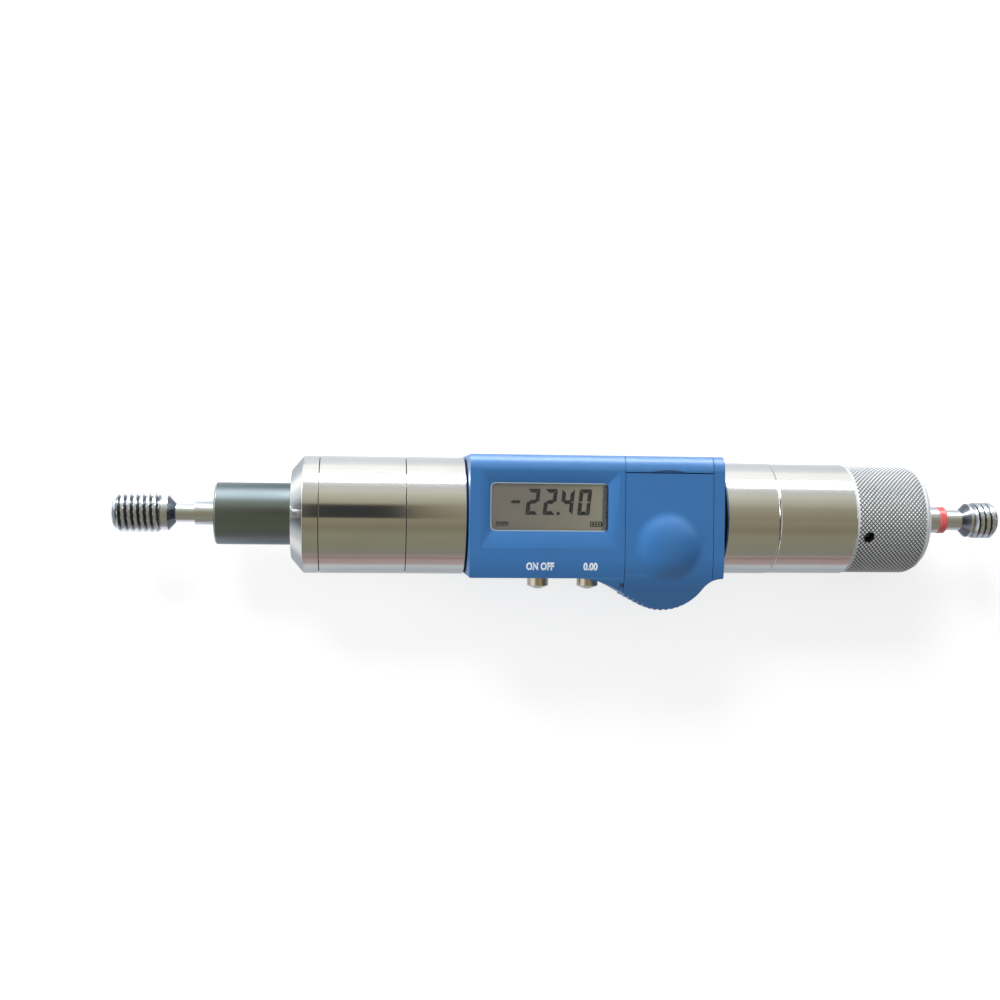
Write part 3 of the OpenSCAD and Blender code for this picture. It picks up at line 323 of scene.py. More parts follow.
tent_out = tent_tree.nodes.new("ShaderNodeOutputWorld")
feed(tent_tree, tent_out.inputs[0], either_sky(looked, lit, lit_sky((1, 1, 1, 1), 1.0)))
print("tent bands:", len(tent_bands))


# %% Lamps
def soft_lamp(name, place, size, power):
    lamp = bpy.data.lights.new(name, "AREA")
    lamp.shape = "SQUARE"
    lamp.size = size
    lamp.energy = power
    holder = link(bpy.data.objects.new(name, lamp))
    holder.location = place
    aim = Vector((0, 0, axis_height)) - Vector(place)
    holder.rotation_euler = aim.to_track_quat("-Z", "Y").to_euler()
    holder.visible_glossy = False


soft_lamp("window_lamp", (-0.25, 0.66, 0.50), 0.35, 6.3)
soft_lamp("left_lamp", (-0.75, 0.05, 0.22), 0.35, 3.0)
soft_lamp("over_lamp", (0.0, 0.05, 0.9), 0.8, 0.9)
print("lamps: 3, hidden from mirrors, because the tent already gives the reflections")


# %% [markdown]
# ## Cards
# These cards are painted reflections: glowing sheets seen by reflections alone. On the steel in
# front of the lens one paints a short brown-black streak for the dark camera, on the sloped nose
# one paints light and dark things that lie at its left, and on the dark sleeve one paints a
# dimmer window.

# %% Dark card
def new_card(name):
    return new_glow(name, Base_Color=(0, 0, 0, 1), Emission_Strength=1.0)


def place_card(name, corners, paint):
    card = sheet_object(name, corners, paint)
    card.visible_camera = False
    card.visible_diffuse = False
    card.visible_transmission = False
    card.visible_shadow = False


dark_paint, dark_tree, dark_shader, dark_spot = new_card("dark_card")
dark_calc = partial(calc, dark_tree)
left_side = soft_step(dark_tree, dark_spot["X"], -0.082, -0.070)
fading = dark_calc("MULTIPLY", soft_step(dark_tree, dark_spot["X"], -0.004, -0.034), 0.5)
middle = dark_calc("MULTIPLY", soft_step(dark_tree, dark_spot["X"], -0.026, -0.034), 0.5)
right_side = dark_calc("ADD", fading, middle)
low_side = soft_step(dark_tree, dark_spot["Y"], -0.034, -0.022)
high_side = soft_step(dark_tree, dark_spot["Y"], 0.125, 0.080)
cover = dark_calc("MULTIPLY", left_side, right_side)
cover = dark_calc("MULTIPLY", cover, dark_calc("MULTIPLY", low_side, high_side))
# painted reflection: a brown-black streak over the front tube, where the dark camera would be mirrored
painted_dark_reflection = mix_colours(dark_tree, cover, (0.16, 0.075, 0.06, 1), (0.045, 0.05, 0.05, 1))
feed_all(dark_tree, dark_shader, Alpha=cover, Emission_Color=painted_dark_reflection)
card_z = camera_place.z + 10 * MM
place_card("dark_card", flat_corners(-0.09, 0.0, -0.04, 0.13, card_z), dark_paint)
print("dark card over X in mm:", round(camera_place.x / MM, 1))

# %% Left card
card_from, card_to = -0.40, -0.06
# painted reflection: a glowing strip on the table, seen by mirror rays only, gives the nose light and dark
# bands
painted_left_reflection_tones = [
    (card_from, (0.07, 0.08, 0.09)),
    (-0.158, (0.09, 0.105, 0.12)),
    (-0.143, (0.36, 0.40, 0.43)),
    (-0.127, (0.60, 0.65, 0.69)),
    (-0.115, (0.68, 0.71, 0.74)),
    (-0.100, (0.98, 0.99, 1.00)),
    (-0.088, (0.93, 0.95, 0.97)),
    (-0.078, (0.50, 0.54, 0.58)),
    (-0.066, (0.38, 0.42, 0.46)),
]
left_paint, left_tree, left_shader, left_spot = new_card("left_card")
painted_left_reflection = colour_ramp(left_tree, left_spot["X"], card_from, card_to, painted_left_reflection_tones)
left_power = ranged(left_tree, left_spot["Y"], 1.12, 1.62, -0.021, 0.021)
feed_all(left_tree, left_shader, Emission_Color=painted_left_reflection, Emission_Strength=left_power)
place_card("left_card", flat_corners(card_from, card_to, -0.05, 0.05, 0.3 * MM), left_paint)
print("left card on the table, tones:", len(painted_left_reflection_tones))

# %% Sleeve card
sleeve_paint, sleeve_tree, sleeve_shader, sleeve_spot = new_card("sleeve_card")
# painted reflection: an upright glowing sheet, pale at the top, gives the dark sleeve a dimmer window
sleeve_glow = soft_step(sleeve_tree, sleeve_spot["Z"], 0.024, 0.041)
painted_window_on_sleeve = mix_colours(sleeve_tree, sleeve_glow, (0.93, 0.96, 1.0, 1), (0.42, 0.43, 0.44, 1))
feed_all(sleeve_tree, sleeve_shader, Emission_Color=painted_window_on_sleeve, Emission_Strength=2.7)
card_y = 0.03
sleeve_corners = [(x, card_y, z) for x, z, _ in flat_corners(-0.0832, -0.0602, 0.014, 0.041, 0)]
place_card("sleeve_card", sleeve_corners, sleeve_paint)
print("sleeve card at Y in mm:", round(card_y / MM))


# %% [markdown]
# ## Shared surface effects
# Three effects come back on several finishes, so each is a shader node group. Turning marks are
# the hair-fine rings that a lathe leaves round the axis. Moulded grain is the tiny orange peel
# of plastic and rubber. Edge wear reads a mask that is stored on the narrow faces of edges.

# %% Turning marks
def start_group(name, inputs, outputs):
    group = bpy.data.node_groups.new(name, "ShaderNodeTree")
    for label, value in inputs:
        socket = group.interface.new_socket(label, in_out="INPUT", socket_type="NodeSocketFloat")
        socket.default_value = value
    for label in outputs:
        group.interface.new_socket(label, in_out="OUTPUT", socket_type="NodeSocketFloat")
    inside = group.nodes.new("NodeGroupInput").outputs
    return group, inside, group.nodes.new("NodeGroupOutput")


def noise(tree, vector, scale, detail):
    node = add_node(tree, "ShaderNodeTexNoise", Vector=vector, Scale=scale, Detail=detail)
    return node.outputs["Fac"]


turning, turning_in, turning_out = start_group(
    "turning_marks", [("Line Scale", 9000.0), ("Smudge Scale", 90.0)], ["Lines", "Smudges"]
)
turned_place = place_of(turning)
stretch = add_node(turning, "ShaderNodeMapping", Scale=(1.0, 0.012, 0.012), Vector=turned_place)
lines = noise(turning, stretch.outputs[0], turning_in["Line Scale"], 3.0)
smudges = noise(turning, turned_place, turning_in["Smudge Scale"], 4.0)
feed_all(turning, turning_out, Lines=lines, Smudges=smudges)
print("group:", turning.name)

# %% Moulded grain
moulded, moulded_in, moulded_out = start_group(
    "moulded_grain", [("Grain Scale", 5200.0), ("Patch Scale", 70.0)], ["Grain", "Patches"]
)
grain = noise(moulded, place_of(moulded), moulded_in["Grain Scale"], 2.0)
patches = noise(moulded, place_of(moulded), moulded_in["Patch Scale"], 3.0)
feed_all(moulded, moulded_out, Grain=grain, Patches=patches)
print("group:", moulded.name)


# %% Edge wear
def attribute(tree, name):
    node = tree.nodes.new("ShaderNodeAttribute")
    node.attribute_name = name
    return node.outputs["Fac"]


wear, wear_in, wear_out = start_group("edge_wear", [("Break Scale", 900.0)], ["Wear"])
broken = ranged(wear, noise(wear, place_of(wear), wear_in["Break Scale"], 2.0), 0.35, 1.2)
feed_all(wear, wear_out, Wear=calc(wear, "MULTIPLY", attribute(wear, "edge"), broken))
print("group:", wear.name)


# %% [markdown]
# ## Steel finishes
# All steel here is the same idea with other values: a mirror-like metal whose roughness and
# height follow the turning marks, a touch of smudge in its colour, and brighter worn edges.
# One function keeps the recipe, and each finish sets its own colour and roughness. Threads and the
# knurl have a second recipe, with painted shade: a mask gives the crests a bright colour and the
# grooves a dark one.

# %% Steel recipe
def place_group(tree, group, **values):
    node = tree.nodes.new("ShaderNodeGroup")
    node.node_tree = group
    return feed_all(tree, node, **values).outputs


def raise_bumps(tree, shader, height, distance):
    bump = add_node(tree, "ShaderNodeBump", Distance=distance, Strength=1.0, Height=height)
    feed_all(tree, shader, Normal=bump.outputs[0])


def steel(name, colour, rough, line_scale=9000.0, line_height=0.5e-6):
    finish, tree, shader = new_finish(name)
    marks = place_group(tree, turning, Line_Scale=line_scale, Smudge_Scale=90.0)
    rubbed = place_group(tree, wear, Break_Scale=900.0)["Wear"]
    dull = [part * 0.9 for part in colour]
    body = mix_colours(tree, ranged(tree, marks["Smudges"], -0.4, 1.2), (*colour, 1), (*dull, 1))
    edged = mix_colours(tree, calc(tree, "MULTIPLY", rubbed, 0.5), body, (0.85, 0.84, 0.82, 1))
    streaks = ranged(tree, marks["Lines"], rough * -0.08, rough * 0.08)
    soft = ranged(tree, marks["Smudges"], rough * 0.9, rough * 1.12)
    soft = calc(tree, "ADD", soft, streaks)
    feed_all(tree, shader, Metallic=1.0, Base_Color=edged, Roughness=soft)
    raise_bumps(tree, shader, marks["Lines"], line_height)
    return finish


finishes = {
    "bright_steel": steel("polished_steel", (0.66, 0.655, 0.64), 0.1, 9000.0, 0.12e-6),
    "dark_steel": steel("blackened_steel", (0.225, 0.27, 0.28), 0.25, 6000.0, 0.1e-6),
    "gauge_steel": steel("ground_steel", (0.58, 0.57, 0.54), 0.2, 7000.0, 0.8e-6),
    "inner_steel": steel("plain_steel", (0.5, 0.5, 0.49), 0.32, 6000.0, 1.0e-6),
    "button_metal": steel("nickelled_brass", (0.68, 0.62, 0.50), 0.2),
    "bronze": steel("bearing_bronze", (0.60, 0.38, 0.17), 0.34),
    "contact_gold": steel("gilt_contact", (0.83, 0.62, 0.26), 0.28),
    "scale_film": steel("scale_film", (0.48, 0.37, 0.16), 0.36, 14000.0, 0.5e-6),
}
print("steel finishes:", len(finishes))


# %% Knurled and threaded steel
def ridged_steel(name, metallic, groove, tip, dull_tip, crest_range, rough_range, scales, line_height):
    finish, tree, shader = new_finish(name)
    crest = attribute(tree, "crest")
    if crest_range:
        crest = soft_step(tree, crest, *crest_range)
    marks = place_group(tree, turning, Line_Scale=scales[0], Smudge_Scale=scales[1])
    if dull_tip:
        tip = mix_colours(tree, marks["Smudges"], tip, dull_tip)
    rough = ranged(tree, marks["Smudges"], *rough_range)
    # painted shade: the grooves get a dark colour, the crests the bright one
    tone = mix_colours(tree, crest, groove, tip)
    feed_all(tree, shader, Metallic=metallic, Base_Color=tone, Roughness=rough)
    raise_bumps(tree, shader, marks["Lines"], line_height)
    return finish


finishes["knurled_steel"] = ridged_steel(
    "knurled_steel",
    metallic=0.4,
    groove=(0.022, 0.023, 0.025, 1),
    tip=(0.78, 0.81, 0.84, 1),
    dull_tip=None,
    crest_range=(0.06, 0.62),
    rough_range=(0.58, 0.66),
    scales=(5000.0, 140.0),
    line_height=1.0e-6,
)
finishes["thread_steel"] = ridged_steel(
    "thread_steel",
    metallic=1.0,
    groove=(0.17, 0.185, 0.215, 1),
    tip=(0.66, 0.69, 0.73, 1),
    dull_tip=(0.56, 0.59, 0.63, 1),
    crest_range=None,
    rough_range=(0.14, 0.24),
    scales=(7000.0, 120.0),
    line_height=0.8e-6,
)
print("ridged finishes:", finishes["knurled_steel"].name, finishes["thread_steel"].name)


# %% [markdown]
# ## Plastics and rubber
# The housing is moulded in a satin blue with a very fine grain, so its lights are soft. Each
# plastic mixes two near shades by large patches and takes its roughness from the grain. Its edges
# get a lighter colour, part wear where fingers rub and part painted highlight. Rubber is the same
# recipe, darker and duller.

# %% Colours in linear light
def linear(red, green, blue):
    parts = [part / 255 for part in (red, green, blue)]
    curve = [p / 12.92 if p <= 0.04045 else ((p + 0.055) / 1.055) ** 2.4 for p in parts]
    return (*curve, 1.0)


print("sRGB 128 is", round(linear(128, 128, 128)[0], 3), "in linear light")


# %% Plastic recipe
def plastic(name, colour, shade, rough, grain_height, edge_wear_and_highlight, gloss=0.5, skin=0.0):
    finish, tree, shader = new_finish(name)
    texture = place_group(tree, moulded, Grain_Scale=5200.0, Patch_Scale=70.0)
    rubbed = place_group(tree, wear, Break_Scale=700.0)["Wear"]
    mixed = ranged(tree, texture["Patches"], -0.5, 1.5)
    body = mix_colours(tree, mixed, linear(*colour), linear(*shade))
    # edges: a lighter colour, part wear and part painted highlight
    edged = mix_colours(tree, calc(tree, "MULTIPLY", rubbed, 0.35), body, linear(*edge_wear_and_highlight))
    grainy = ranged(tree, texture["Grain"], rough - 0.06, rough + 0.08)
    feed_all(tree, shader, Base_Color=edged, Roughness=grainy, Specular_IOR_Level=gloss)
    feed_all(tree, shader, Coat_Weight=skin, Coat_Roughness=0.5)
    raise_bumps(tree, shader, texture["Grain"], grain_height)
    return finish


for slot, *recipe in (
    ("blue_plastic", "satin_blue", (14, 104, 172), (10, 99, 166), 0.42, 5e-6, (90, 142, 200), 1.0, 1.0),
    ("black_rubber", "black_rubber", (16, 16, 18), (22, 22, 24), 0.62, 6e-6, (50, 50, 54)),
    ("black_plastic", "black_plastic", (24, 24, 26), (30, 30, 32), 0.45, 4e-6, (60, 60, 62)),
    ("red_plastic", "red_ring", (236, 96, 100), (228, 88, 92), 0.3, 3e-6, (240, 170, 170), 0.8),
    ("connector_pink", "pink_rubber", (206, 120, 140), (190, 104, 126), 0.55, 4e-6, (220, 160, 170)),
    ("white_print", "white_print", (226, 236, 244), (214, 226, 238), 0.5, 2e-6, (240, 244, 248)),
    ("display_ink", "display_ink", (14, 14, 14), (18, 18, 18), 0.5, 1e-6, (24, 24, 24), 0.3),
    # painted shade on the display's right end
    ("display_edge", "display_edge", (50, 58, 62), (60, 66, 68), 0.5, 1e-6, (60, 66, 70)),
):
    finishes[slot] = plastic(*recipe)
print("steel and plastic finishes:", len(finishes))

# %% Display, window and its rim
window_low, window_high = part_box("display_window")


def share_across(tree):
    return ranged(tree, split_place(tree)["X"], 0.0, 1.0, window_low.x, window_high.x)


finishes["display_grey"], tree, shader = new_finish("display_grey")
speckle = noise(tree, place_of(tree), 1400.0, 2.0)
panel_share = calc(tree, "ADD", share_across(tree), ranged(tree, speckle, -0.15, 0.15))
panel_share = calc(tree, "POWER", calc(tree, "MAXIMUM", panel_share, 0.0), 2.0)
panel_colour = mix_colours(tree, panel_share, linear(90, 84, 76), linear(112, 108, 90))
feed_all(tree, shader, Base_Color=panel_colour, Roughness=ranged(tree, speckle, 0.5, 0.62))
raise_bumps(tree, shader, speckle, 1e-6)

finishes["window_clear"], tree, shader = new_finish("clear_window")
haze = noise(tree, place_of(tree), 160.0, 3.0)
tint = mix_colours(tree, haze, (0.98, 0.985, 0.98, 1), (0.95, 0.96, 0.95, 1))
feed_all(tree, shader, Base_Color=tint, Roughness=ranged(tree, haze, 0.0, 0.05))
feed_all(tree, shader, Transmission_Weight=1.0, IOR=1.1)

finishes["window_rim"], tree, shader = new_finish("window_rim")
# painted highlight and shade: a pale rim that turns dark at the right end
rim_shade = soft_step(tree, share_across(tree), 0.965, 0.985)
rim_grain = noise(tree, place_of(tree), 3000.0, 2.0)
painted_rim_light_and_shade = mix_colours(tree, rim_shade, linear(172, 192, 205), linear(44, 60, 74))
feed_all(tree, shader, Base_Color=painted_rim_light_and_shade, Roughness=ranged(tree, rim_grain, 0.2, 0.34))
raise_bumps(tree, shader, rim_grain, 1e-6)
print("window from and to in mm:", round(window_low.x / MM, 2), round(window_high.x / MM, 2))

# %% Board green
finishes["board_green"], tree, shader = new_finish("circuit_board")
tracks = add_node(tree, "ShaderNodeTexBrick", Scale=420.0, Mortar_Size=0.03, Vector=place_of(tree))
feed_all(tree, tracks, Color1=linear(28, 92, 58), Color2=linear(34, 104, 66))
feed_all(tree, tracks, Mortar=linear(74, 140, 92))
board_rough = ranged(tree, tracks.outputs["Fac"], 0.35, 0.25)
feed_all(tree, shader, Base_Color=tracks.outputs["Color"], Roughness=board_rough)
raise_bumps(tree, shader, tracks.outputs["Fac"], 20e-6)
print("finishes in all:", len(finishes))

# %% [markdown]
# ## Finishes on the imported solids
# Every solid carries a material slot by name. Swapping the slot's material keeps the solid's
# shape and gives it the finish above, also on inner pieces that only show when the gauge is
# taken apart.

# %% Finishes on the solids
slot_of = {}
unnamed = []
for name, node in frame["nodes"].items():
    for slot in node.material_slots:
        wanted = slot.material.name.split(".")[0]
        if wanted in finishes:
            slot.material = finishes[wanted]
            slot_of[name] = wanted
        else:
            unnamed.append((name, wanted))
print("slots without a finish:", unnamed)


# %% [markdown]
# ## Turned pieces
# The nose, tubes, sleeve, rings and buttons all come from a lathe, so each is one outline swept
# round an axis. A lathe outline with small rounded corners catches light the way a broken edge
# does. The outline is a list of places along the axis, radii and corner roundings.

# %% Lathe
def rounded_outline(corners, steps=5):
    points = []
    for index, (along, radius, rounding) in enumerate(corners):
        here = Vector((along, radius))
        if rounding <= 0:
            points.append(here)
            continue
        before = Vector(corners[index - 1][:2]) - here
        after = Vector(corners[(index + 1) % len(corners)][:2]) - here
        half = before.angle(after) / 2
        reach = min(rounding / math.tan(half), before.length * 0.49, after.length * 0.49)
        start = here + before.normalized() * reach
        end = here + after.normalized() * reach
        for step in range(steps + 1):
            t = step / steps
            points.append(start * (1 - t) ** 2 + here * 2 * t * (1 - t) + end * t**2)
    return points


def circle_row(bm, along, radius, segments):
    if radius < 1e-7:
        return [bm.verts.new((along, 0, axis_height))]
    row = []
    for index in range(segments):
        turn = 2 * math.pi * index / segments
        aside, above = radius * math.cos(turn), radius * math.sin(turn)
        row.append(bm.verts.new((along, aside, axis_height + above)))
    return row


def turned_mesh(name, outline, segments=192, closed=True):
    bm = bmesh.new()
    rows = [circle_row(bm, along, radius, segments) for along, radius in outline]
    pairs = list(zip(rows, rows[1:]))
    if closed:
        pairs.append((rows[-1], rows[0]))
    for first, second in pairs:
        for index in range(segments):
            after = (index + 1) % segments
            if len(first) == 1 and len(second) == 1:
                break
            if len(first) == 1:
                bm.faces.new((first[0], second[after], second[index]))
            elif len(second) == 1:
                bm.faces.new((first[index], first[after], second[0]))
            else:
                bm.faces.new((first[index], first[after], second[after], second[index]))
    return mesh_from(bm, name)


print("points of a rounded corner:", len(rounded_outline([(0, 1, 0.1), (1, 1, 0), (1, 0, 0)])) - 2)


# %% Dress a piece
def is_level(normal):
    return max(abs(value) for value in normal) > 0.9999


def mark_edges(mesh):
    bm = bmesh.new()
    bm.from_mesh(mesh)
    worn = []
    for face in bm.faces:
        longest = max(edge.calc_length() for edge in face.edges)
        sharpest = max(edge.calc_face_angle(0.0) for edge in face.edges)
        narrow = face.calc_area() < longest * 0.2 * MM and not is_level(face.normal)
        worn.append(1.0 if narrow and sharpest > math.radians(8) else 0.0)
    bm.free()
    mask = mesh.attributes.get("edge") or mesh.attributes.new("edge", "FLOAT", "FACE")
    mask.data.foreach_set("value", worn)


def baked_mesh(shape, add_modifiers=None):
    holder = link(bpy.data.objects.new("bench", shape))
    if add_modifiers:
        add_modifiers(holder)
    graph = bpy.context.evaluated_depsgraph_get()
    baked = bpy.data.meshes.new_from_object(holder.evaluated_get(graph))
    holder.modifiers.clear()
    bpy.data.objects.remove(holder)
    return baked


def weigh_normals(holder):
    even = holder.modifiers.new("even_shading", "WEIGHTED_NORMAL")
    even.mode = "FACE_AREA"
    even.weight = 50
    even.keep_sharp = True


def lean_normals(mesh, rule, limit=12, dish_limit=32):
    wanted = [corner.vector.copy() for corner in mesh.corner_normals]
    beside = [[] for vertex in mesh.vertices]
    for face in mesh.polygons:
        for vertex in face.vertices:
            beside[vertex].append(face)
    for face in mesh.polygons:
        near = math.cos(math.radians(dish_limit if face.normal.z > 0.8 else limit))
        for loop in face.loop_indices:
            vertex = mesh.loops[loop].vertex_index
            known = rule(mesh.vertices[vertex].co, face.normal)
            if known:
                wanted[loop] = known
            elif is_level(face.normal):
                wanted[loop] = face.normal.copy()
            elif face.area > 0.02 * MM * MM:
                alike = [other for other in beside[vertex] if other.normal.dot(face.normal) > near]
                wanted[loop] = sum((other.normal * other.area for other in alike), Vector()).normalized()
    mesh.normals_split_custom_set(wanted)


def dress(name, mesh, body, nodes, slot, smooth_angle=32, finish=None, normal_rule=None):
    mark_edges(mesh)
    mesh.polygons.foreach_set("use_smooth", [True] * len(mesh.polygons))
    mesh.set_sharp_from_angle(angle=math.radians(smooth_angle))
    mesh = baked_mesh(mesh, weigh_normals)
    if normal_rule:
        lean_normals(mesh, normal_rule)
    mesh.name = name
    mesh.materials.clear()
    mesh.materials.append(finishes[finish or slot])
    piece = link(bpy.data.objects.new(name, mesh))
    if body:
        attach(piece, body)
    if nodes:
        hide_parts(*nodes)
    triangles = sum(len(face.vertices) - 2 for face in mesh.polygons)
    print(name, "triangles:", triangles)
    return piece


def span(node):
    low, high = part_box(node)
    return low.x, high.x, (high.z - low.z) / 2


print("nose from and to in mm:", [round(value / MM, 2) for value in span("nose_cap")])

# %% Nose cap
nose_start, nose_end, nose_radius = span("nose_cap")
nose_wall = 2 * MM
sleeve_way = 6.35 * MM
core_radius = 9.02 * MM
wiper_low, wiper_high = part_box("nose_wiper")
wiper_radius = (wiper_high.z - wiper_low.z) / 2 + 0.02 * MM
nose_outline = rounded_outline(
    [
        (nose_start, sleeve_way, 0.15 * MM),
        (nose_start, 9.1 * MM, 0.15 * MM),
        (nose_start + 2.45 * MM, nose_radius, 0.12 * MM),
        (nose_end - 0.09 * MM, nose_radius, 0.04 * MM),
        (nose_end, nose_radius - 0.45 * MM, 0),
        (nose_end, core_radius, 0),
        (nose_end - nose_wall, core_radius, 0),
        (nose_end - nose_wall, sleeve_way, 0),
        (wiper_high.x, sleeve_way, 0),
        (wiper_high.x, wiper_radius, 0),
        (wiper_low.x, wiper_radius, 0),
        (wiper_low.x, sleeve_way, 0),
    ]
)
dress("nose_ring", turned_mesh("nose_ring", nose_outline), "gauge_body", ["nose_cap"], "bright_steel")


# %% Tubes
def tube_piece(name, node, body, start_cut, end_cut, inner=core_radius, longer=0.0):
    start, end, radius = span(node)
    end += longer
    outline = rounded_outline(
        [
            (start, inner, 0),
            (start, radius - start_cut[1], 0),
            (start + start_cut[0], radius, start_cut[0] * 0.4),
            (end - end_cut[0], radius, end_cut[0] * 0.4),
            (end, radius - end_cut[1], 0),
            (end, inner, 0),
        ]
    )
    return dress(name, turned_mesh(name, outline), body, [node], slot_of[node])


seam_cut = (0.09 * MM, 0.45 * MM)
small_cut = (0.06 * MM, 0.06 * MM)
wide_cut = (0.26 * MM, 0.26 * MM)
rubber_cut = (0.12 * MM, 0.3 * MM)
fall_cut = (0.22 * MM, 0.16 * MM)
deep_cut = (0.4 * MM, 0.45 * MM)
tube_piece("tube_front", "front_tube", "gauge_body", seam_cut, seam_cut)
tube_piece("tube_middle", "middle_tube", "gauge_body", seam_cut, small_cut)
tube_piece("tube_rear", "rear_tube", "gauge_body", wide_cut, fall_cut, longer=0.12 * MM)
tube_piece("tube_grip", "grip_sleeve", "spindle_unit", wide_cut, fall_cut)
tube_piece("ring_front", "front_seal", "gauge_body", rubber_cut, rubber_cut)
tube_piece("ring_rear", "rear_seal", "gauge_body", rubber_cut, deep_cut)
tube_piece("ring_red", "red_ring", "spindle_unit", wide_cut, wide_cut, inner=2.12 * MM)

# %% Depth sleeve
sleeve_start, sleeve_end, sleeve_radius = span("depth_sleeve")
sleeve_bore = 4.3 * MM
sleeve_cut = 0.28 * MM
tail_radius = 5.5 * MM
tail_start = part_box("sleeve_carriage")[0].x
sleeve_outline = rounded_outline(
    [
        (sleeve_start, sleeve_bore, 0.12 * MM),
        (sleeve_start, sleeve_radius - sleeve_cut, 0.06 * MM),
        (sleeve_start + sleeve_cut, sleeve_radius, 0.1 * MM),
        (tail_start, sleeve_radius, 0),
        (tail_start, tail_radius, 0),
        (sleeve_end, tail_radius, 0),
        (sleeve_end, sleeve_bore, 0),
    ]
)
dress("sleeve", turned_mesh("sleeve", sleeve_outline), "sleeve_unit", ["depth_sleeve"], "dark_steel")


# %% [markdown]
# ## Threads
# Both plugs carry the same coarse thread. A thread is a rule: the radius depends on how far a
# point lies along the helix. So the plug is turned as a plain rod with many rows, and a Geometry
# Nodes tree lifts the rows into the thread, with pitch, radii and ends as named inputs.

# %% Tree helpers
def start_tree(name, *labels):
    kinds = {"Geometry": "Geometry", "Finish": "Material", "Shape": "Object"}
    tree = bpy.data.node_groups.new(name, "GeometryNodeTree")
    for label in ("Geometry", *labels, "Finish"):
        kind = "NodeSocket" + kinds.get(label, "Float")
        tree.interface.new_socket(label, in_out="INPUT", socket_type=kind)
    tree.interface.new_socket("Geometry", in_out="OUTPUT", socket_type="NodeSocketGeometry")
    return tree, tree.nodes.new("NodeGroupInput").outputs


def end_tree(tree, named, geometry):
    real = add_node(tree, "GeometryNodeRealizeInstances", Geometry=geometry).outputs[0]
    painted = add_node(tree, "GeometryNodeSetMaterial", Geometry=real, Material=named["Finish"])
    add_node(tree, "NodeGroupOutput", Geometry=painted.outputs[0])
    print("tree:", tree.name, "named inputs:", len(named) - 2)


def bake_tree(mesh, tree, **values):
    def add_tree(holder):
        modifier = holder.modifiers.new("tree", "NODES")
        modifier.node_group = tree
        for item in tree.interface.items_tree:
            label = item.name.replace(" ", "_")
            if item.in_out == "INPUT" and label in values:
                modifier[item.identifier] = values[label]

    return baked_mesh(mesh, add_tree)


def round_axis(tree, named):
    position = tree.nodes.new("GeometryNodeInputPosition").outputs[0]
    along, aside, height = add_node(tree, "ShaderNodeSeparateXYZ", Vector=position).outputs
    above = calc(tree, "SUBTRACT", height, named["Axis Height"])
    aside_square = calc(tree, "MULTIPLY", aside, aside)
    squares = calc(tree, "ADD", aside_square, calc(tree, "MULTIPLY", above, above))
    turn = calc(tree, "DIVIDE", calc(tree, "ARCTAN2", above, aside), 2 * math.pi)
    return along, aside, above, calc(tree, "SQRT", squares), turn


def set_radius(tree, named, along, aside, above, scale):
    spot = add_node(tree, "ShaderNodeCombineXYZ", X=along, Y=calc(tree, "MULTIPLY", aside, scale))
    height = calc(tree, "ADD", calc(tree, "MULTIPLY", above, scale), named["Axis Height"])
    feed_all(tree, spot, Z=height)
    place = spot.outputs[0]
    return add_node(tree, "GeometryNodeSetPosition", Geometry=named["Geometry"], Position=place).outputs[0]


def keep_crest(tree, geometry, value):
    keep = tree.nodes.new("GeometryNodeStoreNamedAttribute")
    keep.data_type = "FLOAT"
    keep.domain = "POINT"
    return feed_all(tree, keep, Geometry=geometry, Name="crest", Value=value).outputs[0]


print("tree helpers ready")

# %% Thread tree
thread_tree, named = start_tree(
    "helical_thread",
    "Axis Height",
    "Start",
    "End",
    "Pitch",
    "Root Radius",
    "Crest Radius",
    "Cone Start",
    "Cone End",
    "Groove Share",
)
thread_calc = partial(calc, thread_tree)


def between(along, start, end):
    past_start = thread_calc("GREATER_THAN", along, start)
    return thread_calc("MULTIPLY", past_start, thread_calc("LESS_THAN", along, end))


along, aside, above, radius, turn = round_axis(thread_tree, named)
from_start = thread_calc("SUBTRACT", along, named["Start"])
phase = thread_calc("FRACT", thread_calc("SUBTRACT", thread_calc("DIVIDE", from_start, named["Pitch"]), turn))
ridge = thread_calc("MULTIPLY", thread_calc("ABSOLUTE", thread_calc("SUBTRACT", phase, 0.5)), 2.0)
flank = thread_calc("DIVIDE", thread_calc("SUBTRACT", ridge, 0.08), named["Groove Share"])
flank = thread_calc("MINIMUM", thread_calc("MAXIMUM", flank, 0.0), 1.0)
height = thread_calc("SUBTRACT", named["Crest Radius"], named["Root Radius"])
rise = thread_calc("MINIMUM", thread_calc("MULTIPLY", flank, height), from_start)
rise = thread_calc("MINIMUM", rise, thread_calc("SUBTRACT", named["End"], along))
rise = thread_calc("MAXIMUM", rise, 0.0)
inside = between(along, named["Start"], named["End"])
lift = thread_calc("MULTIPLY", thread_calc("DIVIDE", rise, radius), inside)
threaded = set_radius(thread_tree, named, along, aside, above, thread_calc("ADD", lift, 1.0))
# painted shade: the stored mask darkens the thread's grooves and the whole cone ahead of the thread
painted_light_share = thread_calc("ADD", thread_calc("DIVIDE", rise, height), thread_calc("SUBTRACT", 1.0, inside))
on_cone = between(along, named["Cone Start"], named["Cone End"])
painted_light_share = thread_calc("MULTIPLY", painted_light_share, thread_calc("SUBTRACT", 1.0, on_cone))
end_tree(thread_tree, named, keep_crest(thread_tree, threaded, painted_light_share))

# %% Plugs
pitch = 1.25 * MM
thread_depth = 0.68 * MM
thread_row_step = pitch / 16
shank_radius = 2.35 * MM
shank_foot = 1.85 * MM


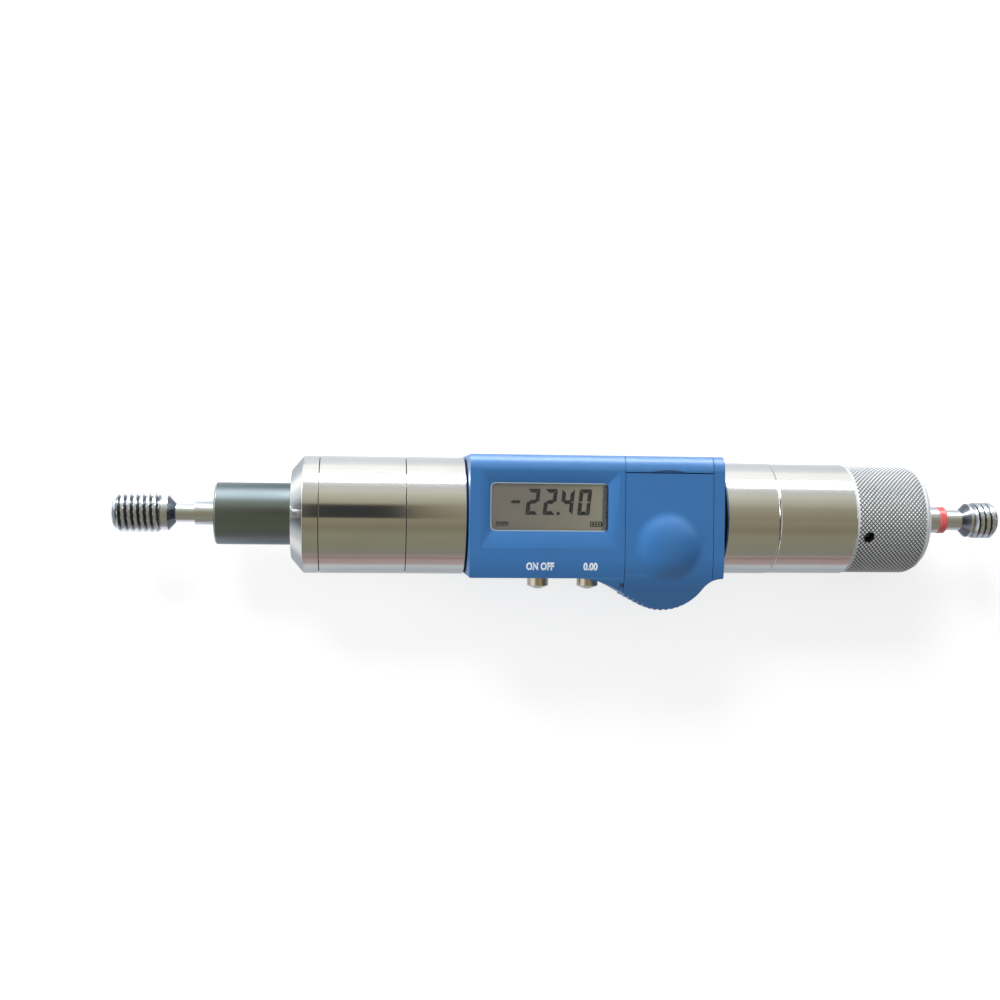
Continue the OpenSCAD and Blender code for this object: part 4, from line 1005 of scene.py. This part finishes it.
def plug_rows(corners, thread, root):
    rows = []
    for along, radius, rounding in corners:
        if along == thread[0]:
            count = int(abs(thread[1] - thread[0]) / thread_row_step)
            for index in range(count + 1):
                rows.append((thread[0] + (thread[1] - thread[0]) * index / count, root, 0))
        else:
            rows.append((along, radius, rounding))
    return [(point.x, point.y) for point in rounded_outline(rows, 3)]


def plug_piece(name, node, corners, thread, cone, groove_share):
    crest = span(node)[2]
    root = crest - thread_depth
    mesh = bake_tree(
        turned_mesh(name, plug_rows(corners, thread, root), 96, closed=False),
        thread_tree,
        Axis_Height=axis_height,
        Start=thread[0],
        End=thread[1],
        Pitch=pitch,
        Root_Radius=root,
        Crest_Radius=crest,
        Cone_Start=cone[0],
        Cone_End=cone[1],
        Groove_Share=groove_share,
        Finish=finishes["thread_steel"],
    )
    return dress(name, mesh, "spindle_unit", [node], "gauge_steel", 28, "thread_steel")


print("thread rows in one turn:", round(pitch / thread_row_step))

# %% GO plug
go_tip, go_back, go_radius = span("go_plug")
go_root = go_radius - thread_depth
go_neck = 1.88 * MM
go_thread = (go_tip + 0.65 * MM, go_tip + 9.45 * MM)
go_cone = (go_tip + 10.92 * MM, go_tip + 12.38 * MM)
go_corners = [
    (go_tip, 0, 0),
    (go_tip, go_root - 0.45 * MM, 0.08 * MM),
    (go_tip + 0.4 * MM, go_root, 0.1 * MM),
    (go_thread[0], go_root, 0),
    (go_tip + 9.5 * MM, go_root, 0),
    (go_tip + 9.7 * MM, go_root + 0.25 * MM, 0.1 * MM),
    (go_tip + 10.9 * MM, go_root + 0.25 * MM, 0),
    (go_tip + 10.93 * MM, go_root + 0.22 * MM, 0),
    (go_tip + 12.37 * MM, 1.91 * MM, 0),
    (go_tip + 12.4 * MM, go_neck, 0),
    (go_tip + 16.1 * MM, go_neck, 0.05 * MM),
    (go_tip + 16.15 * MM, shank_radius, 0.05 * MM),
    (go_back - 0.5 * MM, shank_radius, 0),
    (go_back, shank_foot, 0),
    (go_back, 0, 0),
]
plug_piece("plug_go", "go_plug", go_corners, go_thread, go_cone, 0.5)

# %% NO-GO plug
nogo_back, nogo_tip, nogo_radius = span("nogo_plug")
nogo_root = nogo_radius - thread_depth
nogo_neck = 2.1 * MM
nogo_land = 3.55 * MM
collar_radius = 2.75 * MM
collar_start = span("grip_hub")[1]
collar_end = span("red_ring")[0]
nogo_thread = (nogo_tip - 5.45 * MM, nogo_tip - 0.4 * MM)
nogo_cone = (nogo_tip - 7.78 * MM, nogo_tip - 6.32 * MM)
nogo_corners = [
    (nogo_back, 0, 0),
    (nogo_back, shank_foot, 0),
    (nogo_back + 0.5 * MM, shank_radius, 0),
    (collar_start, shank_radius, 0),
    (collar_start + 0.02 * MM, collar_radius, 0),
    (collar_end, collar_radius, 0.15 * MM),
    (collar_end + 0.01 * MM, nogo_neck, 0),
    (nogo_tip - 7.8 * MM, nogo_neck, 0),
    (nogo_tip - 7.77 * MM, 2.13 * MM, 0),
    (nogo_tip - 6.33 * MM, 3.52 * MM, 0),
    (nogo_tip - 6.3 * MM, nogo_land, 0),
    (nogo_tip - 5.75 * MM, nogo_land, 0.1 * MM),
    (nogo_tip - 5.5 * MM, nogo_root, 0.05 * MM),
    (nogo_thread[0], nogo_root, 0),
    (nogo_tip - 0.35 * MM, nogo_root - 0.1 * MM, 0.1 * MM),
    (nogo_tip, nogo_root - 0.55 * MM, 0.1 * MM),
    (nogo_tip, 0, 0),
]
plug_piece("plug_nogo", "nogo_plug", nogo_corners, nogo_thread, nogo_cone, 0.3)

# %% [markdown]
# ## Knurled grip ring
# Two families of fine grooves cross on the ring and leave rows of small diamonds. A texture
# would look flat at the outline, so the grooves are real: the ring is turned with a fine grid of
# rows that meets every groove and tip, and a Geometry Nodes tree presses both groove families in.

# %% Knurl tree
knurl_tree, named = start_tree(
    "diamond_knurl", "Axis Height", "Start", "End", "Count", "Pitch", "Depth", "Least Radius"
)
knurl_calc = partial(calc, knurl_tree)
run_out = 0.3 * MM


def groove_distance(operation, first, second):
    part = knurl_calc("FRACT", knurl_calc("ADD", knurl_calc(operation, first, second), 0.5))
    return knurl_calc("MULTIPLY", knurl_calc("ABSOLUTE", knurl_calc("SUBTRACT", part, 0.5)), 2.0)


along, aside, above, radius, turn = round_axis(knurl_tree, named)
from_start = knurl_calc("SUBTRACT", along, named["Start"])
to_end = knurl_calc("SUBTRACT", named["End"], along)
steps_round = knurl_calc("MULTIPLY", turn, named["Count"])
steps_along = knurl_calc("DIVIDE", from_start, named["Pitch"])
one_way = groove_distance("ADD", steps_round, steps_along)
other_way = groove_distance("SUBTRACT", steps_round, steps_along)
diamond = knurl_calc("MINIMUM", one_way, other_way)
zone = knurl_calc("MINIMUM", knurl_calc("DIVIDE", from_start, run_out), knurl_calc("DIVIDE", to_end, run_out))
zone = knurl_calc("MAXIMUM", knurl_calc("MINIMUM", zone, 1.0), 0.0)
zone = knurl_calc("MULTIPLY", zone, knurl_calc("GREATER_THAN", radius, named["Least Radius"]))
sunk = knurl_calc("MULTIPLY", knurl_calc("SUBTRACT", 1.0, diamond), named["Depth"])
sunk = knurl_calc("MULTIPLY", sunk, zone)
knurl_scale = knurl_calc("SUBTRACT", 1.0, knurl_calc("DIVIDE", sunk, radius))
knurled = set_radius(knurl_tree, named, along, aside, above, knurl_scale)
# painted shade: the mask falls from 1 on the diamond tips to 0 at the groove bottoms, where the colour is
# dark
painted_knurl_shade = knurl_calc("SUBTRACT", 1.0, knurl_calc("DIVIDE", sunk, named["Depth"]))
end_tree(knurl_tree, named, keep_crest(knurl_tree, knurled, painted_knurl_shade))

# %% Knurled ring
ring_start, ring_end, ring_radius = span("knurled_ring")
knurl_count = 75
knurl_pitch = 0.85 * MM
ring_lip = 0.3 * MM
ring_slope = 1.2 * MM
shoulder = 2.0 * MM
shoulder_fall = 0.8 * MM
knurl_start = ring_start + ring_lip
row_step = knurl_pitch / 4
row_count = int((ring_end - ring_slope - knurl_start) / row_step)
knurl_end = knurl_start + row_count * row_step
ring_rows = [(ring_start, core_radius), (ring_start, ring_radius - ring_lip)]
for index in range(row_count + 1):
    row_x = knurl_start + row_step * index
    share = max(0.0, (row_x - knurl_end + shoulder) / shoulder)
    ring_rows.append((row_x, ring_radius - shoulder_fall * share**2))
ring_rows += [
    (ring_end - 1.1 * MM, ring_radius - 0.9 * MM),
    (ring_end - 0.15 * MM, ring_radius - 1.85 * MM),
    (ring_end, ring_radius - 2.1 * MM),
    (ring_end, core_radius),
]


def split_quads(mesh, low, high):
    bm = bmesh.new()
    bm.from_mesh(mesh)
    outer = []
    for face in bm.faces:
        middle = face.calc_center_median() - Vector((0, 0, axis_height))
        if len(face.verts) == 4 and low < middle.x < high and middle.yz.length > core_radius + MM:
            outer.append(face)
    bmesh.ops.poke(bm, faces=outer)
    bm.to_mesh(mesh)
    bm.free()
    return mesh


ring_mesh = bake_tree(
    split_quads(turned_mesh("knurl", ring_rows, knurl_count * 4), knurl_start, knurl_end),
    knurl_tree,
    Axis_Height=axis_height,
    Start=knurl_start,
    End=knurl_end,
    Count=float(knurl_count),
    Pitch=knurl_pitch,
    Depth=0.16 * MM,
    Least_Radius=ring_radius - 0.82 * MM,
    Finish=finishes["knurled_steel"],
)
print("knurl rows:", row_count, "diamonds round the ring:", knurl_count)


# %% Pin hole
def rod_mesh(name, segments, radius, length):
    bm = bmesh.new()
    bmesh.ops.create_cone(
        bm, cap_ends=True, segments=segments, radius1=radius, radius2=radius, depth=length
    )
    return mesh_from(bm, name, outward=False)


def cut_out(mesh, cutter, operation="DIFFERENCE"):
    tool = link(bpy.data.objects.new("tool", cutter))

    def add_cut(holder):
        modifier = holder.modifiers.new("cut", "BOOLEAN")
        modifier.object = tool
        modifier.operation = operation
        modifier.solver = "EXACT"

    result = baked_mesh(mesh, add_cut)
    bpy.data.objects.remove(tool)
    return result


pin_hole = next(mount for mount in frame["record"]["mounts"] if mount["name"] == "pin_hole")
turn_to_hole = Vector((0, 0, 1)).rotation_difference(Vector(pin_hole["axis"])).to_matrix().to_4x4()
drill = rod_mesh("drill", 48, 1.1 * MM, 6 * MM)
drill.transform(Matrix.Translation(Vector(pin_hole["pos_m"])) @ turn_to_hole)
drilled = cut_out(ring_mesh, drill)
dress("ring_knurled", drilled, "spindle_unit", ["knurled_ring"], "knurled_steel", 20)


# %% [markdown]
# ## Push buttons
# Two small metal buttons stick out of the housing's lower side. They are turned about their own
# axis, so the same lathe makes them along X and a rotation lays them along Y. The tip is gently
# rounded and polished by fingers.

# %% Buttons
drop_axis = Matrix.Translation((0, 0, -axis_height))
along_y = Matrix.Rotation(math.radians(90), 4, "Z")


def button_piece(name, node, body):
    low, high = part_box(node)
    length = high.y - low.y
    radius = 2.125 * MM
    stem = 0.8 * MM
    flange = 4.1 * MM
    flange_end = flange + 0.6 * MM
    flange_radius = (high.z - low.z) / 2
    outline = rounded_outline(
        [
            (0, 0, 0),
            (0, 0.5 * MM, 0.15 * MM),
            (0.6 * MM, radius, 0.15 * MM),
            (flange, radius, 0),
            (flange, flange_radius, 0.1 * MM),
            (flange_end, flange_radius, 0.1 * MM),
            (flange_end, stem, 0),
            (length, stem, 0),
            (length, 0, 0),
        ],
        4,
    )
    mesh = turned_mesh(name, outline, 64, closed=False)
    tip = Vector(((low.x + high.x) / 2, low.y, (low.z + high.z) / 2))
    mesh.transform(Matrix.Translation(tip) @ along_y @ drop_axis)
    return dress(name, mesh, body, [node], "button_metal", 30)


button_piece("key_mode", "mode_button", "mode_key")
button_piece("key_set", "set_button", "set_key")


# %% [markdown]
# ## Moulded housing
# The blue cover, the battery drawer and the port cover keep the exact shape of their solids. A
# moulded edge is never knife-sharp, so a merged copy of each solid gets its visible edges
# bevelled. Then its front is planed to one fine curve, a hair below the facets, and its shading
# normals are set from that curve, so that the bend reflects without streaks.

# %% Rounded copies
def merged_copy(node):
    bm = bmesh.new()
    bm.from_mesh(frame["nodes"][node].data)
    bmesh.ops.remove_doubles(bm, verts=bm.verts, dist=2e-6)
    bmesh.ops.dissolve_limit(
        bm, angle_limit=math.radians(0.6), verts=bm.verts, edges=bm.edges, delimit={"NORMAL"}
    )
    return bm


def bevel_where(bm, rule, width, steps=3, least=18):
    edges = [
        edge
        for edge in bm.edges
        if len(edge.link_faces) == 2
        and edge.calc_face_angle(0.0) > math.radians(least)
        and edge.is_convex
        and all(rule(vert.co) for vert in edge.verts)
    ]
    bmesh.ops.bevel(
        bm,
        geom=edges,
        offset=width,
        offset_type="OFFSET",
        segments=steps,
        profile=0.5,
        affect="EDGES",
        clamp_overlap=True,
    )
    return len(edges)


print("facets of the solid cover:", len(frame["nodes"]["housing_cover"].data.polygons))

# %% Curve of the front
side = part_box("housing_base")[1].y
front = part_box("housing_cover")[1].z
roll_width = 3.0 * MM
roll_height = 2.4 * MM
bend_start = -8.0 * MM
bend_radius = 13.8 * MM
bend_limit = math.radians(27)
plane_depth = 0.04 * MM


def front_height(y):
    if y > side - roll_width:
        share = min(1.0, (y - side + roll_width) / roll_width)
        return front - roll_height * (1 - math.sqrt(1 - share * share))
    if y > bend_start:
        return front
    sine = (bend_start - y) / bend_radius
    if sine < math.sin(bend_limit):
        return front - bend_radius * (1 - math.sqrt(1 - sine * sine))
    drop = bend_radius * (1 - math.cos(bend_limit))
    return front - drop - (bend_start - y - bend_radius * math.sin(bend_limit)) * math.tan(bend_limit)


def planed_front(y):
    return front_height(y) - plane_depth


def wall_round(bm, first, second):
    for index in range(len(first)):
        after = (index + 1) % len(first)
        bm.faces.new((first[index], first[after], second[after], second[index]))


def plane_down(mesh):
    spots = [(-19.7 + 0.3 * index) * MM for index in range(39)] + [bend_start]
    spots += [side - (3.0 - 0.1 * index) * MM for index in range(31)]
    top = front + 5 * MM
    outline = [(y, planed_front(y)) for y in spots]
    outline += [(side + MM, planed_front(side)), (side + MM, top), (spots[0], top)]
    bm = bmesh.new()
    ends = [[bm.verts.new((x, y, z)) for y, z in outline] for x in (-40 * MM, 40 * MM)]
    bm.faces.new(ends[0])
    bm.faces.new(list(reversed(ends[1])))
    wall_round(bm, *ends)
    return cut_out(mesh, mesh_from(bm, "plane"))


def surface_normal(height, place, face_normal, limit=10):
    if abs(place.z - height(place.x, place.y)) > 0.05 * MM or face_normal.z < 0.3:
        return None
    step = 0.02 * MM
    lean_x = height(place.x + step, place.y) - height(place.x - step, place.y)
    lean_y = height(place.x, place.y + step) - height(place.x, place.y - step)
    normal = Vector((-lean_x, -lean_y, 2 * step)).normalized()
    return normal if normal.dot(face_normal) > math.cos(math.radians(limit)) else None


def plain_front(place, face_normal):
    return surface_normal(lambda x, y: planed_front(y), place, face_normal)


print("front height at the lower edge in mm:", round(front_height(-side) / MM, 2))

# %% Cover, base and port cover
cover_low, cover_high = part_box("housing_cover")


def on_front(place):
    return abs(place.z - front_height(place.y)) < 0.03 * MM


def at_an_end(place):
    ends = min(abs(place.x - cover_low.x), abs(place.x - cover_high.x))
    return on_front(place) and ends < 0.9 * MM


def on_flank(place):
    return on_front(place) and place.y < -12.1 * MM


def housing_piece(name, node, body, rules, normal_rule, reshape=None):
    bm = merged_copy(node)
    for rule, width in rules:
        print(name, "edges rounded:", bevel_where(bm, rule, width))
    bmesh.ops.triangulate(bm, faces=[face for face in bm.faces if len(face.verts) > 4])
    mesh = mesh_from(bm, name, outward=False)
    if reshape:
        mesh = reshape(mesh)
    return dress(name, mesh, body, [node], "blue_plastic", 30, normal_rule=normal_rule)


cover_rules = [(at_an_end, 0.3 * MM), (on_front, 0.17 * MM)]
port_rules = [(on_front, 0.14 * MM)]
housing_piece("cover_blue", "housing_cover", "gauge_body", cover_rules, plain_front, plane_down)
housing_piece("base_blue", "housing_base", "gauge_body", [], plain_front)
housing_piece("port_blue", "port_cover", "port_lid", port_rules, plain_front, plane_down)

# %% [markdown]
# ## Battery bulge
# The drawer swells over the button cell. The solid has a plain round cap with a crease at its
# foot, but a moulded bulge runs out softly. So planing takes the cap off the copy, and a bulge with
# a soft foot is joined on: a smooth maximum of the cap and the front makes that foot.

# %% Battery drawer
cell_low, cell_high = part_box("button_cell")
bulge_x = (cell_low.x + cell_high.x) / 2
bulge_y = (cell_low.y + cell_high.y) / 2
bulge_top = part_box("battery_drawer")[1].z - front
bulge_reach = 7.3 * MM
bulge_ball = 13.5 * MM
bulge_foot = 0.5 * MM
cell_play = 0.15 * MM


def bulge_height(reach):
    cap = bulge_top - bulge_ball + math.sqrt(bulge_ball**2 - reach**2)
    near = max(bulge_foot - abs(cap), 0.0) / bulge_foot
    return max(cap, 0.0) + near**2 * bulge_foot / 4


def ring_solid(name, radius, rings, low_rule, high_rule, segments=96):
    bm = bmesh.new()
    layers = []
    for rule in (low_rule, high_rule):
        rows = []
        for ring in range(rings + 1):
            reach = radius * ring / rings
            row = []
            for index in range(segments if ring else 1):
                turn_angle = 2 * math.pi * index / segments
                x = bulge_x + reach * math.cos(turn_angle)
                y = bulge_y + reach * math.sin(turn_angle)
                row.append(bm.verts.new((x, y, rule(y, reach))))
            rows.append(row)
        layers.append(rows)
    for rows in layers:
        for index in range(segments):
            after = (index + 1) % segments
            bm.faces.new((rows[0][0], rows[1][index], rows[1][after]))
            for first, second in zip(rows[1:], rows[2:]):
                bm.faces.new((first[index], second[index], second[after], first[after]))
    wall_round(bm, layers[0][-1], layers[1][-1])
    return mesh_from(bm, name)


def drawer_height(x, y):
    reach = math.hypot(x - bulge_x, y - bulge_y)
    return planed_front(y) + (bulge_height(reach) if reach < bulge_reach else 0.0)


def bulged_front(place, face_normal):
    return surface_normal(drawer_height, place, face_normal, 20)


def bulge_skin(y, reach):
    tucked = 0.02 * MM if reach > 7.2 * MM else 0
    return planed_front(y) + bulge_height(reach) - tucked


def soften_bulge(mesh):
    bulge = ring_solid("bulge", bulge_reach, 36, lambda y, reach: planed_front(y) - 0.35 * MM, bulge_skin)
    pocket = ring_solid(
        "pocket",
        (cell_high.x - cell_low.x) / 2 + cell_play,
        2,
        lambda y, reach: cell_low.z,
        lambda y, reach: cell_high.z + cell_play,
    )
    joined = cut_out(plane_down(mesh), cut_out(bulge, pocket), "UNION")
    print("bulge height in mm:", round(bulge_top / MM, 2), "faces:", len(joined.polygons))
    return joined


drawer_rules = [(on_flank, 0.27 * MM), (on_front, 0.17 * MM)]
housing_piece(
    "drawer_blue", "battery_drawer", "drawer_unit", drawer_rules, bulged_front, soften_bulge
)

# %% [markdown]
# ## Display
# The display shows a signed number with two decimals and a unit. Each digit is seven slanted
# bars with mitred ends. They are cut from thin plates that lie on the display panel, under the
# clear window, so they stay in place from any side.

# %% Digits
panel_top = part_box("display_panel")[1].z
ink_low = panel_top + 0.01 * MM
ink_high = panel_top + 0.03 * MM
digit_width = 2.5 * MM
digit_height = 5.16 * MM
bar = 0.78 * MM
bar_gap = 0.045 * MM
bar_notch = 0.16 * MM
slant = math.tan(math.radians(6))
digit_base = 0.44 * MM
bars_of = {"0": "abcdef", "2": "abged", "4": "fgbc"}


def bar_outline(letter):
    wide, high, gap = digit_width, digit_height, bar_gap
    middle, half = high / 2, bar / 2
    over, under = middle + bar_notch, middle - bar_notch
    inner, outer = bar + gap, wide - bar - gap
    top, base = middle + half, middle - half
    corners = {
        "a": ((gap, high), (wide - gap, high), (outer, high - bar), (inner, high - bar)),
        "b": ((wide, high - gap), (wide, middle + gap), (wide - bar, over), (wide - bar, high - inner)),
        "c": ((wide, gap), (wide - bar, inner), (wide - bar, under), (wide, middle - gap)),
        "d": ((gap, 0), (inner, bar), (outer, bar), (wide - gap, 0)),
        "e": ((0, gap), (0, middle - gap), (bar, under), (bar, inner)),
        "f": ((0, high - gap), (bar, high - inner), (bar, over), (0, middle + gap)),
        "g": (
            (half, middle),
            (inner, top),
            (outer, top),
            (wide - half, middle),
            (outer, base),
            (inner, base),
        ),
    }
    return corners[letter]


def plate(bm, outline, low, high):
    bottom = [bm.verts.new((x, y, low)) for x, y in outline]
    top = [bm.verts.new((x, y, high)) for x, y in outline]
    bm.faces.new(top)
    bm.faces.new(list(reversed(bottom)))
    wall_round(bm, bottom, top)


def ink_piece(name, outlines, finish, slot):
    bm = bmesh.new()
    for outline in outlines:
        plate(bm, outline, ink_low, ink_high)
    return dress(name, mesh_from(bm, name), "gauge_body", [], slot, finish=finish)


def in_metres(*corners):
    return [(x * MM, y * MM) for x, y in corners]


reading = []
for sign, left in zip("2240", (-14.45, -11.0, -7.55, -4.1)):
    for letter in bars_of[sign]:
        outline = bar_outline(letter)
        reading.append([(left * MM + x + y * slant, digit_base + y) for x, y in outline])
reading.append(in_metres((-8.2, 0.44), (-7.6, 0.44), (-7.55, 1.08), (-8.15, 1.08)))
reading.append(in_metres((-17.3, 2.68), (-15.5, 2.68), (-15.44, 3.28), (-17.24, 3.28)))
ink_piece("reading", reading, "display_ink", "black_plastic")

# %% Shaded end of the display
# painted shade: a dark sheet on the panel's right end stands in for the shade of the window's right wall
shade_right = window_high.x - 0.2 * MM
shade_low = window_low.y + 0.3 * MM
shade_high = window_high.y - 0.3 * MM
shade_corners = (
    (shade_right - 1.0 * MM, shade_low),
    (shade_right, shade_low),
    (shade_right, shade_high),
    (shade_right - 0.8 * MM, shade_high),
)
ink_piece("display_edge", [shade_corners], "display_edge", "display_grey")


# %% Unit and small signs
def word_mesh(word, size, stretch_x, weight, x, y):
    curve = bpy.data.curves.new("word", "FONT")
    curve.body = word
    curve.size = 1.0
    curve.offset = weight
    curve.align_x = "CENTER"
    curve.align_y = "CENTER"
    curve.resolution_u = 3
    flat = baked_mesh(curve)
    flat.transform(Matrix.Translation((x, y, 0)) @ Matrix.Diagonal((size * stretch_x, size, 1, 1)))
    return flat


def thicken(mesh, low, high):
    bm = bmesh.new()
    bm.from_mesh(mesh)
    bmesh.ops.remove_doubles(bm, verts=bm.verts, dist=1e-7)
    made = bmesh.ops.extrude_face_region(bm, geom=bm.faces[:])
    lifted = {item for item in made["geom"] if isinstance(item, bmesh.types.BMVert)}
    for vert in bm.verts:
        vert.co.z += high if vert in lifted else low
    return mesh_from(bm, mesh.name)


unit = word_mesh("mm", 1.8 * MM, 0.92, 0.03, -19.0 * MM, -1.25 * MM)
unit = thicken(unit, ink_low, ink_high)
dress("unit_sign", unit, "gauge_body", [], "black_plastic", finish="display_ink")

cell_bars = []
for x0, x1, y0, y1 in (
    (-1.45, 0.9, -0.98, -0.78),
    (-1.45, 0.9, -1.85, -1.65),
    (-1.45, -1.23, -1.65, -0.98),
    (0.68, 0.9, -1.65, -0.98),
    (0.9, 1.18, -1.55, -1.08),
    (-1.08, -0.66, -1.55, -1.08),
    (-0.5, -0.08, -1.55, -1.08),
    (0.08, 0.5, -1.55, -1.08),
):
    cell_bars.append(in_metres((x0, y0), (x1, y0), (x1, y1), (x0, y1)))
ink_piece("cell_sign", cell_bars, "display_ink", "black_plastic")


# %% Button signs
def printed_sign(name, word, stretch_x, x):
    mesh = word_mesh(word, 2.0 * MM, stretch_x, 0.045, x, -9.75 * MM)
    mesh = thicken(mesh, 0.0, 0.02 * MM)
    for vert in mesh.vertices:
        vert.co.z += planed_front(vert.co.y) - 0.005 * MM
    return dress(name, mesh, "gauge_body", [], "black_plastic", finish="white_print")


printed_sign("sign_power", "ON OFF", 0.76, -11.55 * MM)
printed_sign("sign_zero", "0.00", 0.82, -1.5 * MM)


# %% [markdown]
# ## Window
# The display lies behind a thin clear window with rounded corners. Its cut edge catches the
# light as a pale line. The window is built as a plate with a bevelled rim, and the rim gets a
# painted highlight: a pale colour, dark at its right end as painted shade.

# %% Window and rim
def rounded_rectangle(inset, radius, steps=8):
    x0, x1 = window_low.x + inset + radius, window_high.x - inset - radius
    y0, y1 = window_low.y + inset + radius, window_high.y - inset - radius
    points = []
    for x, y, first in ((x1, y1, 0), (x0, y1, 90), (x0, y0, 180), (x1, y0, 270)):
        for step in range(steps + 1):
            turn_angle = math.radians(first + 90 * step / steps)
            points.append(Vector((x + radius * math.cos(turn_angle), y + radius * math.sin(turn_angle))))
    return points


glass_top = window_high.z
outer_rim = rounded_rectangle(0.0, 1.0 * MM)
inner_rim = rounded_rectangle(0.22 * MM, 0.8 * MM)
glass = bmesh.new()
plate(glass, inner_rim, ink_high + 0.05 * MM, glass_top - 0.03 * MM)
pane_mesh = mesh_from(glass, "window_pane")
dress("window_pane", pane_mesh, "gauge_body", ["display_window"], "window_clear")

rim = bmesh.new()
rim_foot = panel_top + 0.02 * MM
levels = [
    (outer_rim, rim_foot),
    (outer_rim, glass_top - 0.05 * MM),
    ([o.lerp(i, 0.35) for o, i in zip(outer_rim, inner_rim)], glass_top),
    ([o.lerp(i, 0.75) for o, i in zip(outer_rim, inner_rim)], glass_top - 0.02 * MM),
    (inner_rim, glass_top - 0.12 * MM),
    (inner_rim, rim_foot),
]
rim_rows = [[rim.verts.new((p.x, p.y, z)) for p in points] for points, z in levels]
for first, second in zip(rim_rows, rim_rows[1:] + rim_rows[:1]):
    wall_round(rim, first, second)
dress("window_rim", mesh_from(rim, "window_rim"), "gauge_body", [], "window_clear", 40, "window_rim")

# %% [markdown]
# ## Screws and contact pins
# Four cap screws hold the back of the housing, and five gilt pins wait behind the port cover. One
# shape and a few points are enough for each: a Geometry Nodes tree copies the shape to the points.

# %% Copies tree
copies_tree, named = start_tree("copies_on_points", "Shape")
shape_read = add_node(copies_tree, "GeometryNodeObjectInfo", Object=named["Shape"])
spread = add_node(copies_tree, "GeometryNodeInstanceOnPoints", Points=named["Geometry"])
feed_all(copies_tree, spread, Instance=shape_read.outputs["Geometry"])
end_tree(copies_tree, named, spread.outputs[0])


def copied_piece(name, shape, spots, node, body):
    points = bpy.data.meshes.new(name)
    points.from_pydata(spots, [], [])
    pattern = link(bpy.data.objects.new("pattern", shape))
    slot = slot_of[node]
    mesh = bake_tree(points, copies_tree, Shape=pattern, Finish=finishes[slot])
    bpy.data.objects.remove(pattern)
    return dress(name, mesh, body, [node], slot, 30)


# %% Housing screws
screws_low, screws_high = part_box("housing_screws")
head_radius = 1.4 * MM
head_height = 1.2 * MM
screw_radius = 0.8 * MM
screw_length = screws_high.z - screws_low.z
screw_outline = rounded_outline(
    [
        (0, 0, 0),
        (0, head_radius, 0.2 * MM),
        (head_height, head_radius, 0.05 * MM),
        (head_height, screw_radius, 0),
        (screw_length - 0.3 * MM, screw_radius, 0),
        (screw_length, 0.5 * MM, 0),
        (screw_length, 0, 0),
    ],
    4,
)
screw_shape = turned_mesh("cap_screw", screw_outline, 48, closed=False)
screw_shape.transform(Matrix.Rotation(math.radians(-90), 4, "Y") @ drop_axis)
screw_shape = cut_out(screw_shape, rod_mesh("socket", 6, 0.7 * MM, 1.6 * MM))
screw_spots = []
for x in (screws_low.x + head_radius, screws_high.x - head_radius):
    for y in (screws_low.y + head_radius, screws_high.y - head_radius):
        screw_spots.append((x, y, screws_low.z))
copied_piece("back_screws", screw_shape, screw_spots, "housing_screws", "gauge_body")

# %% Contact pins
pins_low, pins_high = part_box("port_pins")
pin_radius = (pins_high.z - pins_low.z) / 2
pin_length = pins_high.y - pins_low.y
pin_outline = rounded_outline(
    [(0, 0, 0), (0, pin_radius, 0), (pin_length, pin_radius, 0.2 * MM), (pin_length, 0, 0)], 4
)
pin_shape = turned_mesh("contact_pin", pin_outline, 24, closed=False)
pin_shape.transform(along_y @ drop_axis)
pin_spots = []
for index in range(5):
    pin_x = pins_low.x + pin_radius + (pins_high.x - pins_low.x - 2 * pin_radius) * index / 4
    pin_spots.append((pin_x, pins_low.y, (pins_low.z + pins_high.z) / 2))
copied_piece("gilt_pins", pin_shape, pin_spots, "port_pins", "gauge_body")

# %% [markdown]
# ## Return spring
# Inside, a coil spring pushes the depth sleeve forward. A helix follows a rule, so a tree makes it
# from a spiral curve and a round wire. One end rests on the sleeve's nut and the other on a stop
# in the tube.

# %% Spring tree
spring_tree, named = start_tree(
    "coil_spring", "Turns", "Coil Radius", "Wire Radius", "Start", "Length", "Axis Height"
)
spring_node = partial(add_node, spring_tree)
coil_radius = named["Coil Radius"]
spiral = spring_node("GeometryNodeCurveSpiral", Resolution=40, Rotations=named["Turns"])
feed_all(spring_tree, spiral, Start_Radius=coil_radius, End_Radius=coil_radius, Height=named["Length"])
spring_place = spring_node("ShaderNodeCombineXYZ", X=named["Start"], Z=named["Axis Height"])
laid = spring_node("GeometryNodeTransform", Geometry=spiral.outputs[0])
feed_all(spring_tree, laid, Translation=spring_place.outputs[0], Rotation=(0, math.radians(90), 0))
wire = spring_node("GeometryNodeCurvePrimitiveCircle", Resolution=12, Radius=named["Wire Radius"])
wound = spring_node("GeometryNodeCurveToMesh", Curve=laid.outputs[0], Fill_Caps=True)
feed_all(spring_tree, wound, Profile_Curve=wire.outputs[0])
end_tree(spring_tree, named, wound.outputs[0])

# %% Return spring
spring_low, spring_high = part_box("return_spring")
spring_slot = slot_of["return_spring"]
wire_radius = 0.4 * MM
spring_length = spring_high.x - spring_low.x - 2 * wire_radius
spring_mesh = bake_tree(
    bpy.data.meshes.new("spring"),
    spring_tree,
    Turns=12.0,
    Coil_Radius=(spring_high.z - spring_low.z) / 2 - wire_radius,
    Wire_Radius=wire_radius,
    Start=spring_low.x + wire_radius,
    Length=spring_length,
    Axis_Height=axis_height,
    Finish=finishes[spring_slot],
)
coil = dress("coil_spring", spring_mesh, None, ["return_spring"], spring_slot, 60)
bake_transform(coil)
print("spring length in mm:", round(spring_length / MM, 1))
